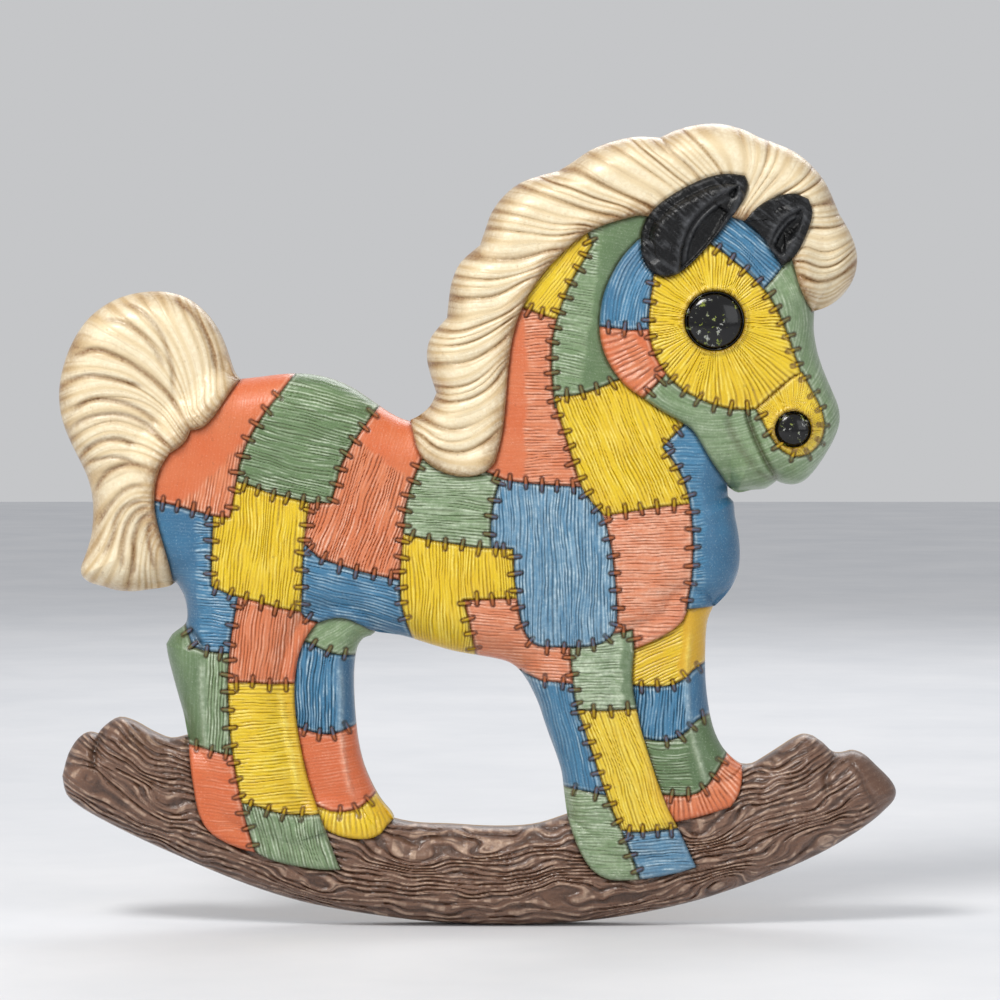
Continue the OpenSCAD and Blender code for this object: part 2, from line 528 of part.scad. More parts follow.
module hanger_plate() color(steel) rotate([90, 0, 0]) difference() {
    translate([-plate_w / 2, fixing_rise - plate_l / 2, 0]) cube([plate_w, plate_l, plate_t]);
    translate([0, 0, -skim]) linear_extrude(plate_t + 2 * skim) keyhole(0);
    for (side = [-1, 1]) translate([0, fixing_rise + side * fixing_pitch / 2, -skim]) {
        cylinder(d = fixing_d + 2 * fixing_gap, h = plate_t + 2 * skim, $fn = 32);
        cylinder(d = fixing_head_d + 2 * fixing_gap, h = skim + plate_t / 2, $fn = 32);
    }
}

module hanger_screws() color(steel) rotate([90, 0, 0])
    for (side = [-1, 1]) translate([0, fixing_rise + side * fixing_pitch / 2, 0]) {
        cylinder(d = fixing_d, h = fixing_l, $fn = 32);
        difference() {
            cylinder(d = fixing_head_d, h = plate_t / 2, $fn = 32);
            translate([-fixing_head_d, -driver_slot / 2, -skim])
                cube([2 * fixing_head_d, driver_slot, skim + driver_slot / 2]);
        }
    }

for (index = [0:len(PIECES) - 1])
    relief_piece(index);
button(eye_at, eye_d);  // eye
button(nostril_at, nostril_d);  // nostril
back_plate();
hanger_plate();
hanger_screws();
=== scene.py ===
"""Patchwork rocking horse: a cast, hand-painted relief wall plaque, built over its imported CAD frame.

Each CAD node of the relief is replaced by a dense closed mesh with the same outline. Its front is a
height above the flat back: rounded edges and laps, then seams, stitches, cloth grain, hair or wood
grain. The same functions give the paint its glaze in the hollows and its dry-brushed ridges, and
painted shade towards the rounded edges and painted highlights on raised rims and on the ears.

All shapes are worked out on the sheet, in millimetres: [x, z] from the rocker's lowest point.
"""

import math

import bpy
import numpy as np
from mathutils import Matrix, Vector, kdtree
from mathutils.geometry import delaunay_2d_cdt


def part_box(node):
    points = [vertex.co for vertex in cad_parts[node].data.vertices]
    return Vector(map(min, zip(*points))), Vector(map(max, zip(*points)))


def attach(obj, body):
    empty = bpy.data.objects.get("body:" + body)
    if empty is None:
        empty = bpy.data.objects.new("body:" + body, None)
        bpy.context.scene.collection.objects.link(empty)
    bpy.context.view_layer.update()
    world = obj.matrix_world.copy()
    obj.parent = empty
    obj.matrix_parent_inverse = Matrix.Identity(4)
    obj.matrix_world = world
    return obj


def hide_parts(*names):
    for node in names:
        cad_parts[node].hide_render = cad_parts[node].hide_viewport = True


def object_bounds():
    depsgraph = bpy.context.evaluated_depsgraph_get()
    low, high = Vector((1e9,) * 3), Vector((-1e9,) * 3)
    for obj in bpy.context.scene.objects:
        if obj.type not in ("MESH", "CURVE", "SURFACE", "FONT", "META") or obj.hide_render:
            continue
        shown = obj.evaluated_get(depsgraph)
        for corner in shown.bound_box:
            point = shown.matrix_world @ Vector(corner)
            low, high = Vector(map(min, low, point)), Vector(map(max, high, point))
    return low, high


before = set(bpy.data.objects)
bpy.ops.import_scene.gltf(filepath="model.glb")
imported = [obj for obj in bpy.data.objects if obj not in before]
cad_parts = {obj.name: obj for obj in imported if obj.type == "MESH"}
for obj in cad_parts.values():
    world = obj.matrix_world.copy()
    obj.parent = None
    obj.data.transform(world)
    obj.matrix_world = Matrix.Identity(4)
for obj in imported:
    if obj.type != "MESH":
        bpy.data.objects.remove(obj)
cad_low, cad_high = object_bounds()

# ---------------------------------------------------------------- sizes

STEP = 0.46  # spacing of a relief mesh's points
LABEL_CELL = 0.4  # cell of the map that says which piece is where
TRACE = 0.3  # spacing of the points that distances to an outline are measured to
LOOK_ACROSS = 0.6  # how far over an outline the neighbouring piece is looked for

SHEET_LOW = np.array([-220.86, 0.0])  # the CAD box's lower corner on the sheet
SHEET_SIZE = np.array([419.97, 401.98])

WALL = 8.5  # height of the side wall where the rounded edge starts
TOP = -cad_low.y * 1000.0 - 0.2  # heights are eased so that they stay under the CAD box's front
EASE = 2.0  # how far below the top the easing starts
MAP_MARGIN = 4.0  # of the map round the sheet

# ---------------------------------------------------------------- groups and pieces

# order from back to front: reach of the rounded edge, and lip over what lies under it
GROUPS = {
    "rocker": (20.0, 2.0),
    "far_hind": (12.0, 2.0),
    "far_fore": (12.0, 2.0),
    "near": (21.0, 2.6),
    "tail": (21.0, 4.0),
    "head": (17.0, 4.4),
    "mane": (17.0, 3.4),
    "near_ear": (10.0, 3.0),
    "far_ear": (8.0, 2.8),
}
ORDER = list(GROUPS)

EYE = (106.0, 303.2)
NOSTRIL = (145.0, 249.6)

# name: (group, paint, grain, strength of the grain, line that plain paint starts at).
# Grain is an angle in degrees, or the centre that it radiates from, or the centre that it circles.
# Plain paint is unlined and darkened as painted shade on the side faces that turn away; it is to the left of
# a line that runs from its first point to its second.
PATCHES = {
    "far_hind_green": ("far_hind", "green", 30, 0.25, None),
    "far_hind_blue": ("far_hind", "blue", 88, 1.25, ((-80.5, 140), (-79.5, 95))),
    "far_hind_rust": ("far_hind", "rust", 8, 0.3, None),
    "far_hind_yellow": ("far_hind", "yellow", ("radial", (-78, 92)), 0.9, None),
    "far_fore_yellow": ("far_fore", "yellow", 24, 0.9, ((94, 165), (90, 120))),
    "far_fore_blue": ("far_fore", "blue", 86, 1.25, ((94, 132), (94, 96))),
    "far_fore_green": ("far_fore", "green", 0, 0.8, ((93, 110), (98, 66))),
    "far_fore_rust": ("far_fore", "rust", ("radial", (88, 100)), 1.0, None),
    "hip_blue": ("near", "blue", -3, 0.9, ((-150, 135), (-153, 215))),
    "back_rust": ("near", "rust", 72, 1.1, ((-66, 242), (-48, 229))),
    "flank_blue": ("near", "blue", -14, 0.9, None),
    "hind_rust": ("near", "rust", -2, 0.35, None),
    "hind_green": ("near", "green", 88, 1.1, ((-146.5, 85), (-148.5, 145))),
    "thigh_rust": ("near", "rust", 82, 1.0, None),
    "hind_green_foot": ("near", "green", 106, 1.0, None),
    "hind_yellow": ("near", "yellow", 1, 0.9, None),
    "rump_green": ("near", "green", -14, 0.9, None),
    "haunch_yellow": ("near", "yellow", 84, 1.0, None),
    "rump_rust": ("near", "rust", 80, 0.8, ((-150, 222), (-106, 266))),
    "withers_green": ("near", "green", -3, 0.9, None),
    "belly_yellow": ("near", "yellow", 92, 1.0, None),
    "belly_rust": ("near", "rust", -4, 0.7, None),
    "neck_rust": ("near", "rust", 2, 0.9, ((11.5, 215), (11.5, 312))),
    "neck_green": ("near", "green", -10, 0.8, ((52, 345), (40.5, 262))),
    "neck_yellow_top": ("near", "yellow", 52, 0.6, None),
    "chest_rust": ("near", "rust", 2, 0.9, None),
    "fore_blue": ("near", "blue", 103, 0.8, None),
    "fore_green": ("near", "green", 2, 0.8, ((60.5, 150), (62.5, 108))),
    "fore_green_foot": ("near", "green", 0, 0.7, None),
    "fore_blue_foot": ("near", "blue", 4, 0.9, None),
    "fore_yellow": ("near", "yellow", 109, 1.0, None),
    "shoulder_blue": ("near", "blue", 91, 1.0, None),
    "neck_yellow": ("near", "yellow", 114, 1.0, None),
    "chest_blue": ("near", "blue", 4, 0.6, ((101, 262), (104, 158))),
    "jaw_green": ("head", "green", ("ring", EYE), 0.3, ((150, 330), (172, 262))),
    "cheek_blue": ("head", "blue", ("ring", EYE), 0.7, None),
    "cheek_rust": ("head", "rust", ("radial", EYE), 0.9, ((66, 301), (84, 266))),
    "forehead_blue": ("head", "blue", -42, 0.9, None),
    "face_yellow": ("head", "yellow", ("radial", EYE), 1.0, None),
    "muzzle_yellow": ("head", "yellow", ("radial", NOSTRIL), 0.8, None),
}
# How far a patch's paint is rubbed through to the lighter paint, or, below nought, how much painted shade
# darkens the patch
WEAR_AND_PAINTED_SHADE = {
    "withers_green": 0.35, "fore_green": 0.75, "fore_green_foot": 0.3, "hind_green": 0.25, "jaw_green": 0.2,
    "hind_green_foot": 0.2, "neck_green": 0.2, "far_hind_green": 0.2, "rump_green": -0.3,
    "far_fore_green": -0.5, "shoulder_blue": 0.3, "fore_blue_foot": 0.25, "chest_rust": 0.45,
    "belly_rust": 0.2, "neck_rust": 0.15, "fore_yellow": 0.25, "hind_rust": -0.7, "far_hind_rust": -0.8,
    "far_fore_yellow": -0.3,
}
HAIR = {"tail": "tail", "mane": "mane", "forelock": "mane"}
EARS = {"near_ear": "near_ear", "far_ear": "far_ear"}
GROUP_OF = {name: patch[0] for name, patch in PATCHES.items()}
GROUP_OF.update(HAIR)
GROUP_OF.update(EARS)
GROUP_OF["rocker"] = "rocker"
NAMES = list(GROUP_OF)

# Pairs of pieces with a seam that isn't stitched.
NO_STITCHES = [{"face_yellow", "muzzle_yellow"}, {"mane", "forelock"}, {"jaw_green", "forehead_blue"}]

# ---------------------------------------------------------------- forms, creases and hair guides

# Broad swellings of a group: centre, radii along and across, angle, height
SWELLS = {
    "near": [
        ((27, 180), (34, 42), 90, 2.6),
        ((-112, 190), (34, 30), 0, 1.8),
        ((-30, 170), (40, 26), -6, 1.6),
        ((78, 185), (30, 24), 90, 1.2),
        ((70, 240), (30, 18), 120, 1.2),
    ],
    "head": [
        ((106, 300), (30, 30), 0, 1.6),
        ((147, 247), (17, 15), 60, 2.2),
        ((113, 240), (10, 16), 60, 1.4),
        ((153, 282), (7, 26), 12, -1.2),
        ((98, 247), (26, 5.5), -38, -2.2),
        ((108, 231), (24, 5.0), -36, 1.2),
        ((146, 228), (11, 5.0), 25, 1.6),
    ],
    "tail": [((-180, 290), (26, 20), -30, 1.2)],
    "rocker": [((183, 78), (13, 9), -40, 2.0), ((-206, 84), (12, 11), 70, 1.6)],
}

# Pressed lines: points, half width, depth, and how much glaze they hold
CREASES = {
    "head": [
        ([(121.6, 259), (124.5, 250), (128.5, 240.5), (133, 232), (139, 224)], 1.5, 3.0, 1.0),
        ([(112, 257), (115, 247), (121, 237), (127, 229.5)], 2.2, 1.5, 0.6),
        ([(126, 229), (132, 226), (139, 224.4)], 1.6, 1.0, 0.6),
    ],
    "rocker": [
        ([(-197.5, 99), (-201, 93), (-203, 86), (-202, 78)], 1.7, 2.6, 1.0),
        ([(169, 88), (166, 81), (163, 75), (164, 67)], 2.2, 2.4, 0.7),
        ([(173, 86), (180, 77), (183, 69), (188, 61)], 1.2, 1.0, 0.5),
    ],
    "near": [([(-147, 139), (-151, 146), (-156.5, 151)], 1.6, 1.4, 0.9)],
    "tail": [
        ([(-214, 285), (-201, 289), (-189, 285), (-177.5, 278), (-166, 268), (-157, 255)], 1.4, 1.4, 2.8),
        ([(-217, 273), (-203, 276), (-187, 273), (-177, 270)], 1.4, 1.3, 2.8),
        ([(-214.5, 257), (-203, 264), (-189, 263), (-177.5, 258), (-168, 250)], 1.4, 1.3, 2.6),
        ([(-215.5, 249), (-205, 255), (-191, 257), (-179.5, 254), (-170, 247), (-163.5, 240)], 1.4, 1.2, 2.6),
        ([(-208.5, 238), (-199, 243.5), (-189, 244.5), (-181, 241)], 1.4, 1.1, 2.4),
        ([(-205.5, 233), (-193, 235.5), (-182, 233.5)], 1.2, 1.0, 2.4),
        ([(-203, 218), (-195, 228), (-185, 232), (-175, 231)], 1.4, 1.2, 2.4),
        ([(-201, 202), (-194, 212), (-185, 220), (-176, 222)], 1.4, 1.3, 2.4),
        ([(-198, 186), (-193, 195), (-191, 204.5), (-186, 211), (-176.5, 215)], 1.6, 1.4, 2.6),
        ([(-188, 179), (-188, 189), (-186, 200.5), (-181, 208), (-173.5, 212)], 1.6, 1.4, 2.6),
        ([(-183, 175), (-182, 187), (-182, 195), (-178.5, 204), (-171.5, 209)], 1.4, 1.3, 2.4),
        ([(-171.5, 179), (-173.5, 189), (-174.5, 198.5), (-171.5, 204)], 1.4, 1.1, 2.4),
        ([(-190, 313), (-177.5, 307.5), (-168, 296), (-163, 280.5), (-162, 265)], 1.4, 1.2, 2.2),
        ([(-163, 315), (-152, 305.5), (-144.5, 292), (-141.5, 278.5)], 1.4, 1.2, 2.6),
        ([(-199, 304.5), (-185, 301.5), (-173.5, 292), (-166, 278.5)], 1.4, 1.1, 2.0),
    ],
}

# Raised lines: points, half width, height
RIDGES = {
    "near": [
        ([(-110, 121), (-107, 100), (-103, 80), (-99.5, 63)], 1.6, 1.0),
        ([(-146.5, 88), (-148, 110), (-148.5, 136)], 1.5, 0.7),
    ],
    "far_hind": [([(-80.5, 136), (-79.5, 118), (-79.5, 98), (-77, 78), (-73, 63)], 1.6, 1.1)],
    "far_fore": [([(95, 150), (93, 130), (93.5, 112), (96, 96), (100, 82), (104, 70)], 1.6, 1.0)],
}

# Hair: lines that strands follow, numbered in order across the hair
MANE_GUIDES = [
    [(1, 250), (-6, 243), (-18, 238), (-31, 240), (-39, 246)],
    [(4, 280), (-4, 270), (-15, 263), (-27, 261), (-34, 264)],
    [(8, 300), (-2, 291), (-14, 284), (-26, 281), (-36, 281)],
    [(15, 318), (4, 309), (-9, 304), (-20, 301), (-28, 302)],
    [(26, 333), (14, 328), (0, 325), (-13, 325), (-23, 327)],
    [(40, 346), (27, 344), (12, 345), (0, 347), (-8, 348)],
    [(58, 354), (43, 357), (28, 361), (14, 366), (5, 369)],
    [(76, 361), (62, 367), (49, 374), (38, 380), (31, 380)],
    [(94, 370), (84, 378), (73, 387), (66, 394)],
    [(105, 374), (97, 383), (89, 391), (82, 396)],
    [(119, 373), (120, 383), (117, 393), (114, 401)],
    [(124, 358), (133, 368), (142, 379), (146, 389)],
    [(140, 362), (151, 367), (160, 373), (163, 377)],
    [(153, 355), (161, 355), (169, 357), (174, 359)],
    [(151, 341), (161, 339), (170, 342), (179, 348)],
    [(147, 325), (157, 322), (168, 325), (178, 333)],
    [(150, 314), (159, 311), (168, 315), (173, 320)],
]
TAIL_GUIDES = [
    [(-140, 268), (-142, 287), (-147, 300), (-153, 312)],
    [(-148, 262), (-149, 284), (-155, 301), (-163, 316)],
    [(-152, 260), (-155, 280), (-162, 297), (-173, 311), (-179, 317)],
    [(-154, 257), (-162, 276), (-171, 289), (-186, 300), (-197, 309)],
    [(-155, 252), (-163, 266), (-173, 278), (-185, 285), (-200, 288), (-214, 290)],
    [(-157, 248), (-168, 262), (-181, 272), (-194, 276), (-207, 275), (-220, 272)],
    [(-160, 246), (-168, 256), (-177, 262), (-189, 264), (-203, 262), (-219, 255)],
    [(-163, 242), (-171, 249), (-181, 254), (-192, 256), (-204, 252), (-216, 245)],
    [(-167, 236), (-176, 241), (-186, 243), (-195, 243), (-204, 239), (-210, 234)],
    [(-171, 228), (-180, 231), (-189, 230), (-197, 226), (-205, 221)],
    [(-172, 219), (-181, 219), (-189, 214), (-195, 206), (-201, 196), (-208, 188)],
    [(-172, 212), (-180, 212), (-186, 206), (-190, 196), (-194, 184), (-200, 175)],
    [(-172, 206), (-178, 203), (-182, 195), (-184, 185), (-187, 173)],
    [(-171, 199), (-174, 193), (-176, 184), (-177, 171)],
    [(-168, 190), (-169, 183), (-169, 174)],
]
LOCKS = {"mane": 2.0, "tail": 1.0}  # locks between two neighbouring guides
STRANDS = 2  # strands in a lock
HAIRS = 3.0  # fine lines in a strand
LOCK_DEPTH = {"mane": 1.0, "tail": 0.5}  # the tail's deep grooves are among its creases

# Wood grain bends round knots: place along and up the rocker, radii, strength
KNOTS = [
    ((104, 48), (17, 6.0), 8), ((112, 24), (14, 5.0), -8), ((-44, 36), (20, 6.5), 9),
    ((-118, 44), (17, 6.0), -7), ((-166, 60), (15, 5.5), 7), ((30, 20), (24, 6.0), -7),
    ((-8, 38), (14, 4.5), 6), ((150, 48), (16, 6.0), -6), ((-92, 20), (20, 5.0), 6),
    ((64, 12), (16, 4.0), 5), ((-205, 78), (10, 5.0), -4), ((52, 38), (12, 4.0), 6),
]
CLOTH_PITCH = 1.55  # between two pressed lines
ROCKER_RADIUS = 420.0  # of the arc that the rocker's underside follows
WOOD_PITCH = 2.9  # between two carved lines
FINE_WOOD = 0.42  # pitch of the fine lines among them, as a share of it

# Each piece's noise starts at a seed: the patches' are 0, 10, 20 and so on, the mane and forelock share one,
# and so do the two ears.
WOOD_SEED = 60
HAIR_SEEDS = {"tail": 520, "mane": 500, "forelock": 500}
EAR_SEED = 540

# ---------------------------------------------------------------- small maths


def unit(t):
    return np.clip(t, 0.0, 1.0)


def smooth(t):
    t = unit(t)
    return t * t * (3.0 - 2.0 * t)


def rise(value, low, span):
    """0 up to a low value, then smoothly to 1 over a span."""
    return smooth((value - low) / span)


def dome(t):
    """A rounded edge's rise from 0 to 1."""
    return np.sqrt(1.0 - (1.0 - unit(t)) ** 2)


def bell(x, width):
    """1 at nought, falling away on both sides over about a width."""
    return np.exp(-((x / width) ** 2))


def off_whole(line):
    """How far each value is from the nearest whole number."""
    share = line - np.floor(line)
    return np.minimum(share, 1 - share)


TABLE = np.random.default_rng(7).random((256, 256))


def noise(u, v, seed):
    """Smooth value noise from 0 to 1, with one cell to a unit."""
    u = np.asarray(u) + 17.3 * seed
    v = np.asarray(v) + 9.1 * seed
    iu = np.floor(u).astype(int)
    iv = np.floor(v).astype(int)
    fu = smooth(u - iu)
    fv = smooth(v - iv)
    a = TABLE[iu % 256, iv % 256]
    b = TABLE[(iu + 1) % 256, iv % 256]
    c = TABLE[iu % 256, (iv + 1) % 256]
    d = TABLE[(iu + 1) % 256, (iv + 1) % 256]
    return (a * (1 - fu) + b * fu) * (1 - fv) + (c * (1 - fu) + d * fu) * fv


def blotches(points, size, seed):
    """Noise over the sheet, with cells of one size."""
    return noise(points[:, 0] / size, points[:, 1] / size, seed)


ROW_LOW = np.array([cad_low.x, cad_low.z])
ROW_SIZE = np.array([cad_high.x, cad_high.z]) - ROW_LOW


def to_sheet(points):
    """Row frame x and z in metres, to the sheet."""
    return (points - ROW_LOW) / ROW_SIZE * SHEET_SIZE + SHEET_LOW


def to_row(points, height):
    """Sheet points and heights above the back, to row frame x, y and z in metres."""
    flat = (np.asarray(points) - SHEET_LOW) / SHEET_SIZE * ROW_SIZE + ROW_LOW
    return np.column_stack([flat[:, 0], -np.asarray(height) / 1000.0, flat[:, 1]])


def resample(points, spacing, closed=False):
    """Points along a line at an even spacing that keeps the line's ends."""
    p = np.asarray(points, float)
    if closed:
        p = np.vstack([p, p[:1]])
    run = np.concatenate([[0.0], np.cumsum(np.linalg.norm(np.diff(p, axis=0), axis=1))])
    count = max(1, int(round(run[-1] / spacing)))
    at = np.linspace(0, run[-1], count + 1)
    if closed:
        at = at[:-1]
    return np.column_stack([np.interp(at, run, p[:, 0]), np.interp(at, run, p[:, 1])])


def curve(points, spacing):
    """A smooth line through a few points."""
    p = np.asarray(points, float)
    ext = np.vstack([2 * p[0] - p[1], p, 2 * p[-1] - p[-2]])
    t = np.linspace(0, 1, 9)[:-1, None]
    out = []
    for i in range(1, len(ext) - 2):
        a, b, c, d = ext[i - 1], ext[i], ext[i + 1], ext[i + 2]
        out.append(0.5 * (2 * b + (c - a) * t + (2 * a - 5 * b + 4 * c - d) * t**2
                          + (3 * b - a - 3 * c + d) * t**3))
    return resample(np.vstack(out + [p[-1:]]), spacing)


class Near:
    """Finds the nearest of a set of points."""

    def __init__(self, points):
        self.points = np.asarray(points, float).reshape(-1, 2)
        self.tree = kdtree.KDTree(len(self.points))
        for i, (x, z) in enumerate(self.points):
            self.tree.insert((x, z, 0.0), i)
        self.tree.balance()

    def find(self, where):
        """Distances to the nearest point, and its index. Far away with no points at all."""
        if not len(self.points):
            return np.full(len(where), 1e3), np.zeros(len(where), int)
        found = [self.tree.find((x, z, 0.0)) for x, z in where]
        return np.array([f[2] for f in found]), np.array([f[1] for f in found])


# ---------------------------------------------------------------- outlines from the CAD nodes

POCKET_AREA = 20.0  # a loop in a back face that holds more than this is a pocket


def outline_of(node):
    """A node's flat back face on the sheet: its outline, and its pockets as (outline, height of floor).

    Each outline runs anticlockwise.
    """
    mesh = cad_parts[node].data
    co = np.array([v.co for v in mesh.vertices])
    back = co[:, 1].max()
    key = [tuple(k) for k in np.round(co * 1e5).astype(int)]
    used = {}
    for polygon in mesh.polygons:
        ring = [key[i] for i in polygon.vertices]
        if all(co[i, 1] > back - 2e-5 for i in polygon.vertices):
            for a, b in zip(ring, ring[1:] + ring[:1]):
                used[(a, b)] = used.get((a, b), 0) + 1
                used[(b, a)] = used.get((b, a), 0) - 1
    after = {a: b for (a, b), count in used.items() if count > 0}
    loops = []
    while after:
        start, b = after.popitem()
        loop = [start]
        while b != start and b in after:
            loop.append(b)
            b = after.pop(b)
        ring = to_sheet(np.array([(k[0], k[2]) for k in loop]) / 1e5)
        corner = loop[0]
        floor = min(k[1] for k in key if k[0] == corner[0] and k[2] == corner[2]) / 100.0
        loops.append((abs(signed_area(ring)), ring if signed_area(ring) > 0 else ring[::-1], -floor))
    loops.sort(key=lambda loop: -loop[0])
    pockets = [(ring, floor) for area, ring, floor in loops[1:] if area > POCKET_AREA]
    return loops[0][1], pockets


def signed_area(ring):
    after = np.roll(ring, -1, axis=0)
    return 0.5 * np.sum(ring[:, 0] * after[:, 1] - after[:, 0] * ring[:, 1])


def crossings(ring, level):
    """Where an outline crosses a level, in order."""
    after = np.roll(ring, -1, axis=0)
    hit = (ring[:, 1] > level) != (after[:, 1] > level)
    a, b = ring[hit], after[hit]
    return np.sort(a[:, 0] + (b[:, 0] - a[:, 0]) * (level - a[:, 1]) / (b[:, 1] - a[:, 1]))


BACKS = {name: outline_of(name) for name in NAMES}
RINGS = {name: back[0] for name, back in BACKS.items()}

map_low = SHEET_LOW - MAP_MARGIN
map_shape = ((SHEET_SIZE + 2 * MAP_MARGIN) / LABEL_CELL).astype(int)
label_map = np.full(map_shape, -1, int)
for index, name in enumerate(NAMES):
    ring = RINGS[name]
    first = int((ring[:, 1].min() - map_low[1]) / LABEL_CELL)
    last = int((ring[:, 1].max() - map_low[1]) / LABEL_CELL) + 1
    for row in range(first, last):
        xs = crossings(ring, map_low[1] + (row + 0.5) * LABEL_CELL)
        for left, right in zip(xs[::2], xs[1::2]):
            a = int(math.ceil((left - map_low[0]) / LABEL_CELL - 0.5))
            b = int(math.ceil((right - map_low[0]) / LABEL_CELL - 0.5))
            label_map[a:b, row] = index


def label_at(points):
    cell = ((points - map_low) / LABEL_CELL).astype(int)
    cell = np.clip(cell, 0, map_shape - 1)
    return label_map[cell[:, 0], cell[:, 1]]


# What each short stretch of a piece's outline borders on
group_index = np.array([ORDER.index(GROUP_OF[name]) for name in NAMES] + [-1])
edge_points = {g: [] for g in ORDER}  # the group's own outline, over nothing or over a lower group
under_points = {g: [] for g in ORDER}  # the part of it over a lower group
over_points = {g: [] for g in ORDER}  # where a higher group lies over this one
seam_runs = []  # (group, piece, neighbour, points along the seam)
for index, name in enumerate(NAMES):
    group = GROUP_OF[name]
    here = ORDER.index(group)
    line = resample(RINGS[name], TRACE, closed=True)
    along = np.roll(line, -1, axis=0) - np.roll(line, 1, axis=0)
    outward = np.column_stack([along[:, 1], -along[:, 0]])
    outward /= np.linalg.norm(outward, axis=1)[:, None]
    beyond = label_at(line + outward * LOOK_ACROSS)
    beyond_group = np.where(beyond < 0, -1, group_index[beyond])
    edge_points[group].append(line[beyond_group < here])
    lower = (beyond_group >= 0) & (beyond_group < here)
    under_points[group].append(np.column_stack([line[lower], beyond_group[lower]]))
    over_points[group].append(line[beyond_group > here])
    for other in set(beyond[(beyond_group == here) & (beyond != index)]):
        if other > index:
            hit = np.flatnonzero(beyond == other)
            for run in np.split(hit, np.flatnonzero(np.diff(hit) > 4) + 1):
                if len(run) > 8:
                    seam_runs.append((group, name, NAMES[other], line[run]))

for group in ORDER:
    edge_points[group] = np.vstack(edge_points[group])
    over_points[group] = np.vstack(over_points[group])
    under_points[group] = np.vstack(under_points[group])
seam_points = {g: [run[3] for run in seam_runs if run[0] == g] for g in ORDER}
seam_points = {g: np.vstack(p) if p else np.zeros((0, 2)) for g, p in seam_points.items()}

EDGE = {g: Near(edge_points[g]) for g in ORDER}
UNDER = {g: Near(under_points[g][:, :2]) for g in ORDER}
OVER = {g: Near(over_points[g]) for g in ORDER}
SEAM = {g: Near(seam_points[g]) for g in ORDER}

# A group's crown is the height of its CAD nodes.
CROWN = {}
for name in NAMES:
    height = -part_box(name)[0].y * 1000.0
    CROWN[GROUP_OF[name]] = max(CROWN.get(GROUP_OF[name], 0.0), height)

# ---------------------------------------------------------------- base relief

under_height = {}


def base_height(group, points):
    """Height of a group's surface before any fine detail, and the distance to the group's outline."""
    reach, lip = GROUPS[group]
    edge, _ = EDGE[group].find(points)
    height = WALL + (CROWN[group] - WALL) * dome(edge / reach)
    if group in SWELLS:
        for centre, radii, angle, swell in SWELLS[group]:
            a = math.radians(angle)
            x = points[:, 0] - centre[0]
            z = points[:, 1] - centre[1]
            u = (x * math.cos(a) + z * math.sin(a)) / radii[0]
            v = (z * math.cos(a) - x * math.sin(a)) / radii[1]
            height += swell * np.exp(-(u * u + v * v)) * smooth(edge / 14)
    if len(UNDER[group].points):
        border, index = UNDER[group].find(points)
        below = under_height[group][index] + lip * dome(border / 3.2)
        near_border = 1.0 - rise(border, 5.0, 14.0)
        height = np.where(below > height, below * near_border + height * (1 - near_border), height)
    return height, edge


for group in ORDER:
    border = under_points[group]
    heights = np.zeros(len(border))
    for lower in set(border[:, 2].astype(int)):
        hit = border[:, 2] == lower
        heights[hit] = base_height(ORDER[lower], border[hit, :2])[0]
    under_height[group] = heights


def near_line(points, line, half_width):
    """1 on a line, falling to 0 at about twice its half width, and thinning towards its ends."""
    path = curve(line, 0.4)
    distance, index = Near(path).find(points)
    along = index / max(1, len(path) - 1)
    taper = smooth(np.minimum(along, 1 - along) * 5 + 0.25)
    return bell(distance, half_width) * taper


# ---------------------------------------------------------------- grain, hair and wood


def grain_frame(points, grain):
    """Coordinates across and along the grain."""
    x, z = points[:, 0], points[:, 1]
    if isinstance(grain, tuple):
        dx, dz = x - grain[1][0], z - grain[1][1]
        r = np.hypot(dx, dz)
        angle = np.arctan2(dz, dx)
        if grain[0] == "ring":
            return r, angle * 36.0
        return angle * 27.0, r
    a = math.radians(grain)
    return z * math.cos(a) - x * math.sin(a), x * math.cos(a) + z * math.sin(a)


def cloth(points, grain, seed):
    """Pressed lines of a cloth patch: depth of the grooves, and the ridges between them, 0 to 1."""
    across, along = grain_frame(points, grain)
    across = across + 1.7 * (noise(along / 17, across / 11, seed) - 0.5)
    across = across + 0.5 * (noise(along / 5, across / 3.5, seed + 1) - 0.5)
    line = across / CLOTH_PITCH + 1.1 * noise(along / 24, across / 5, seed + 2)
    aside = off_whole(line)
    of_groove = np.floor(line + 0.5)
    of_ridge = np.floor(line)
    cut = rise(noise(along / 10 + of_groove * 5.7, of_groove * 3.1, seed + 3), 0.18, 0.4)
    width = 0.20 + 0.2 * noise(along / 9 + of_groove * 2.3, of_groove * 1.7, seed + 4)
    groove = smooth((width - aside) / width) * (0.25 + 0.75 * cut)
    lit = rise(noise(along / 8 + of_ridge * 4.1, of_ridge * 2.9, seed + 5), 0.3, 0.4)
    patchy = noise(across / 11, along / 15, seed + 6)
    ridge = rise(aside, 0.2, 0.25) * lit * (0.3 + 0.7 * rise(patchy, 0.25, 0.5))
    return groove, ridge


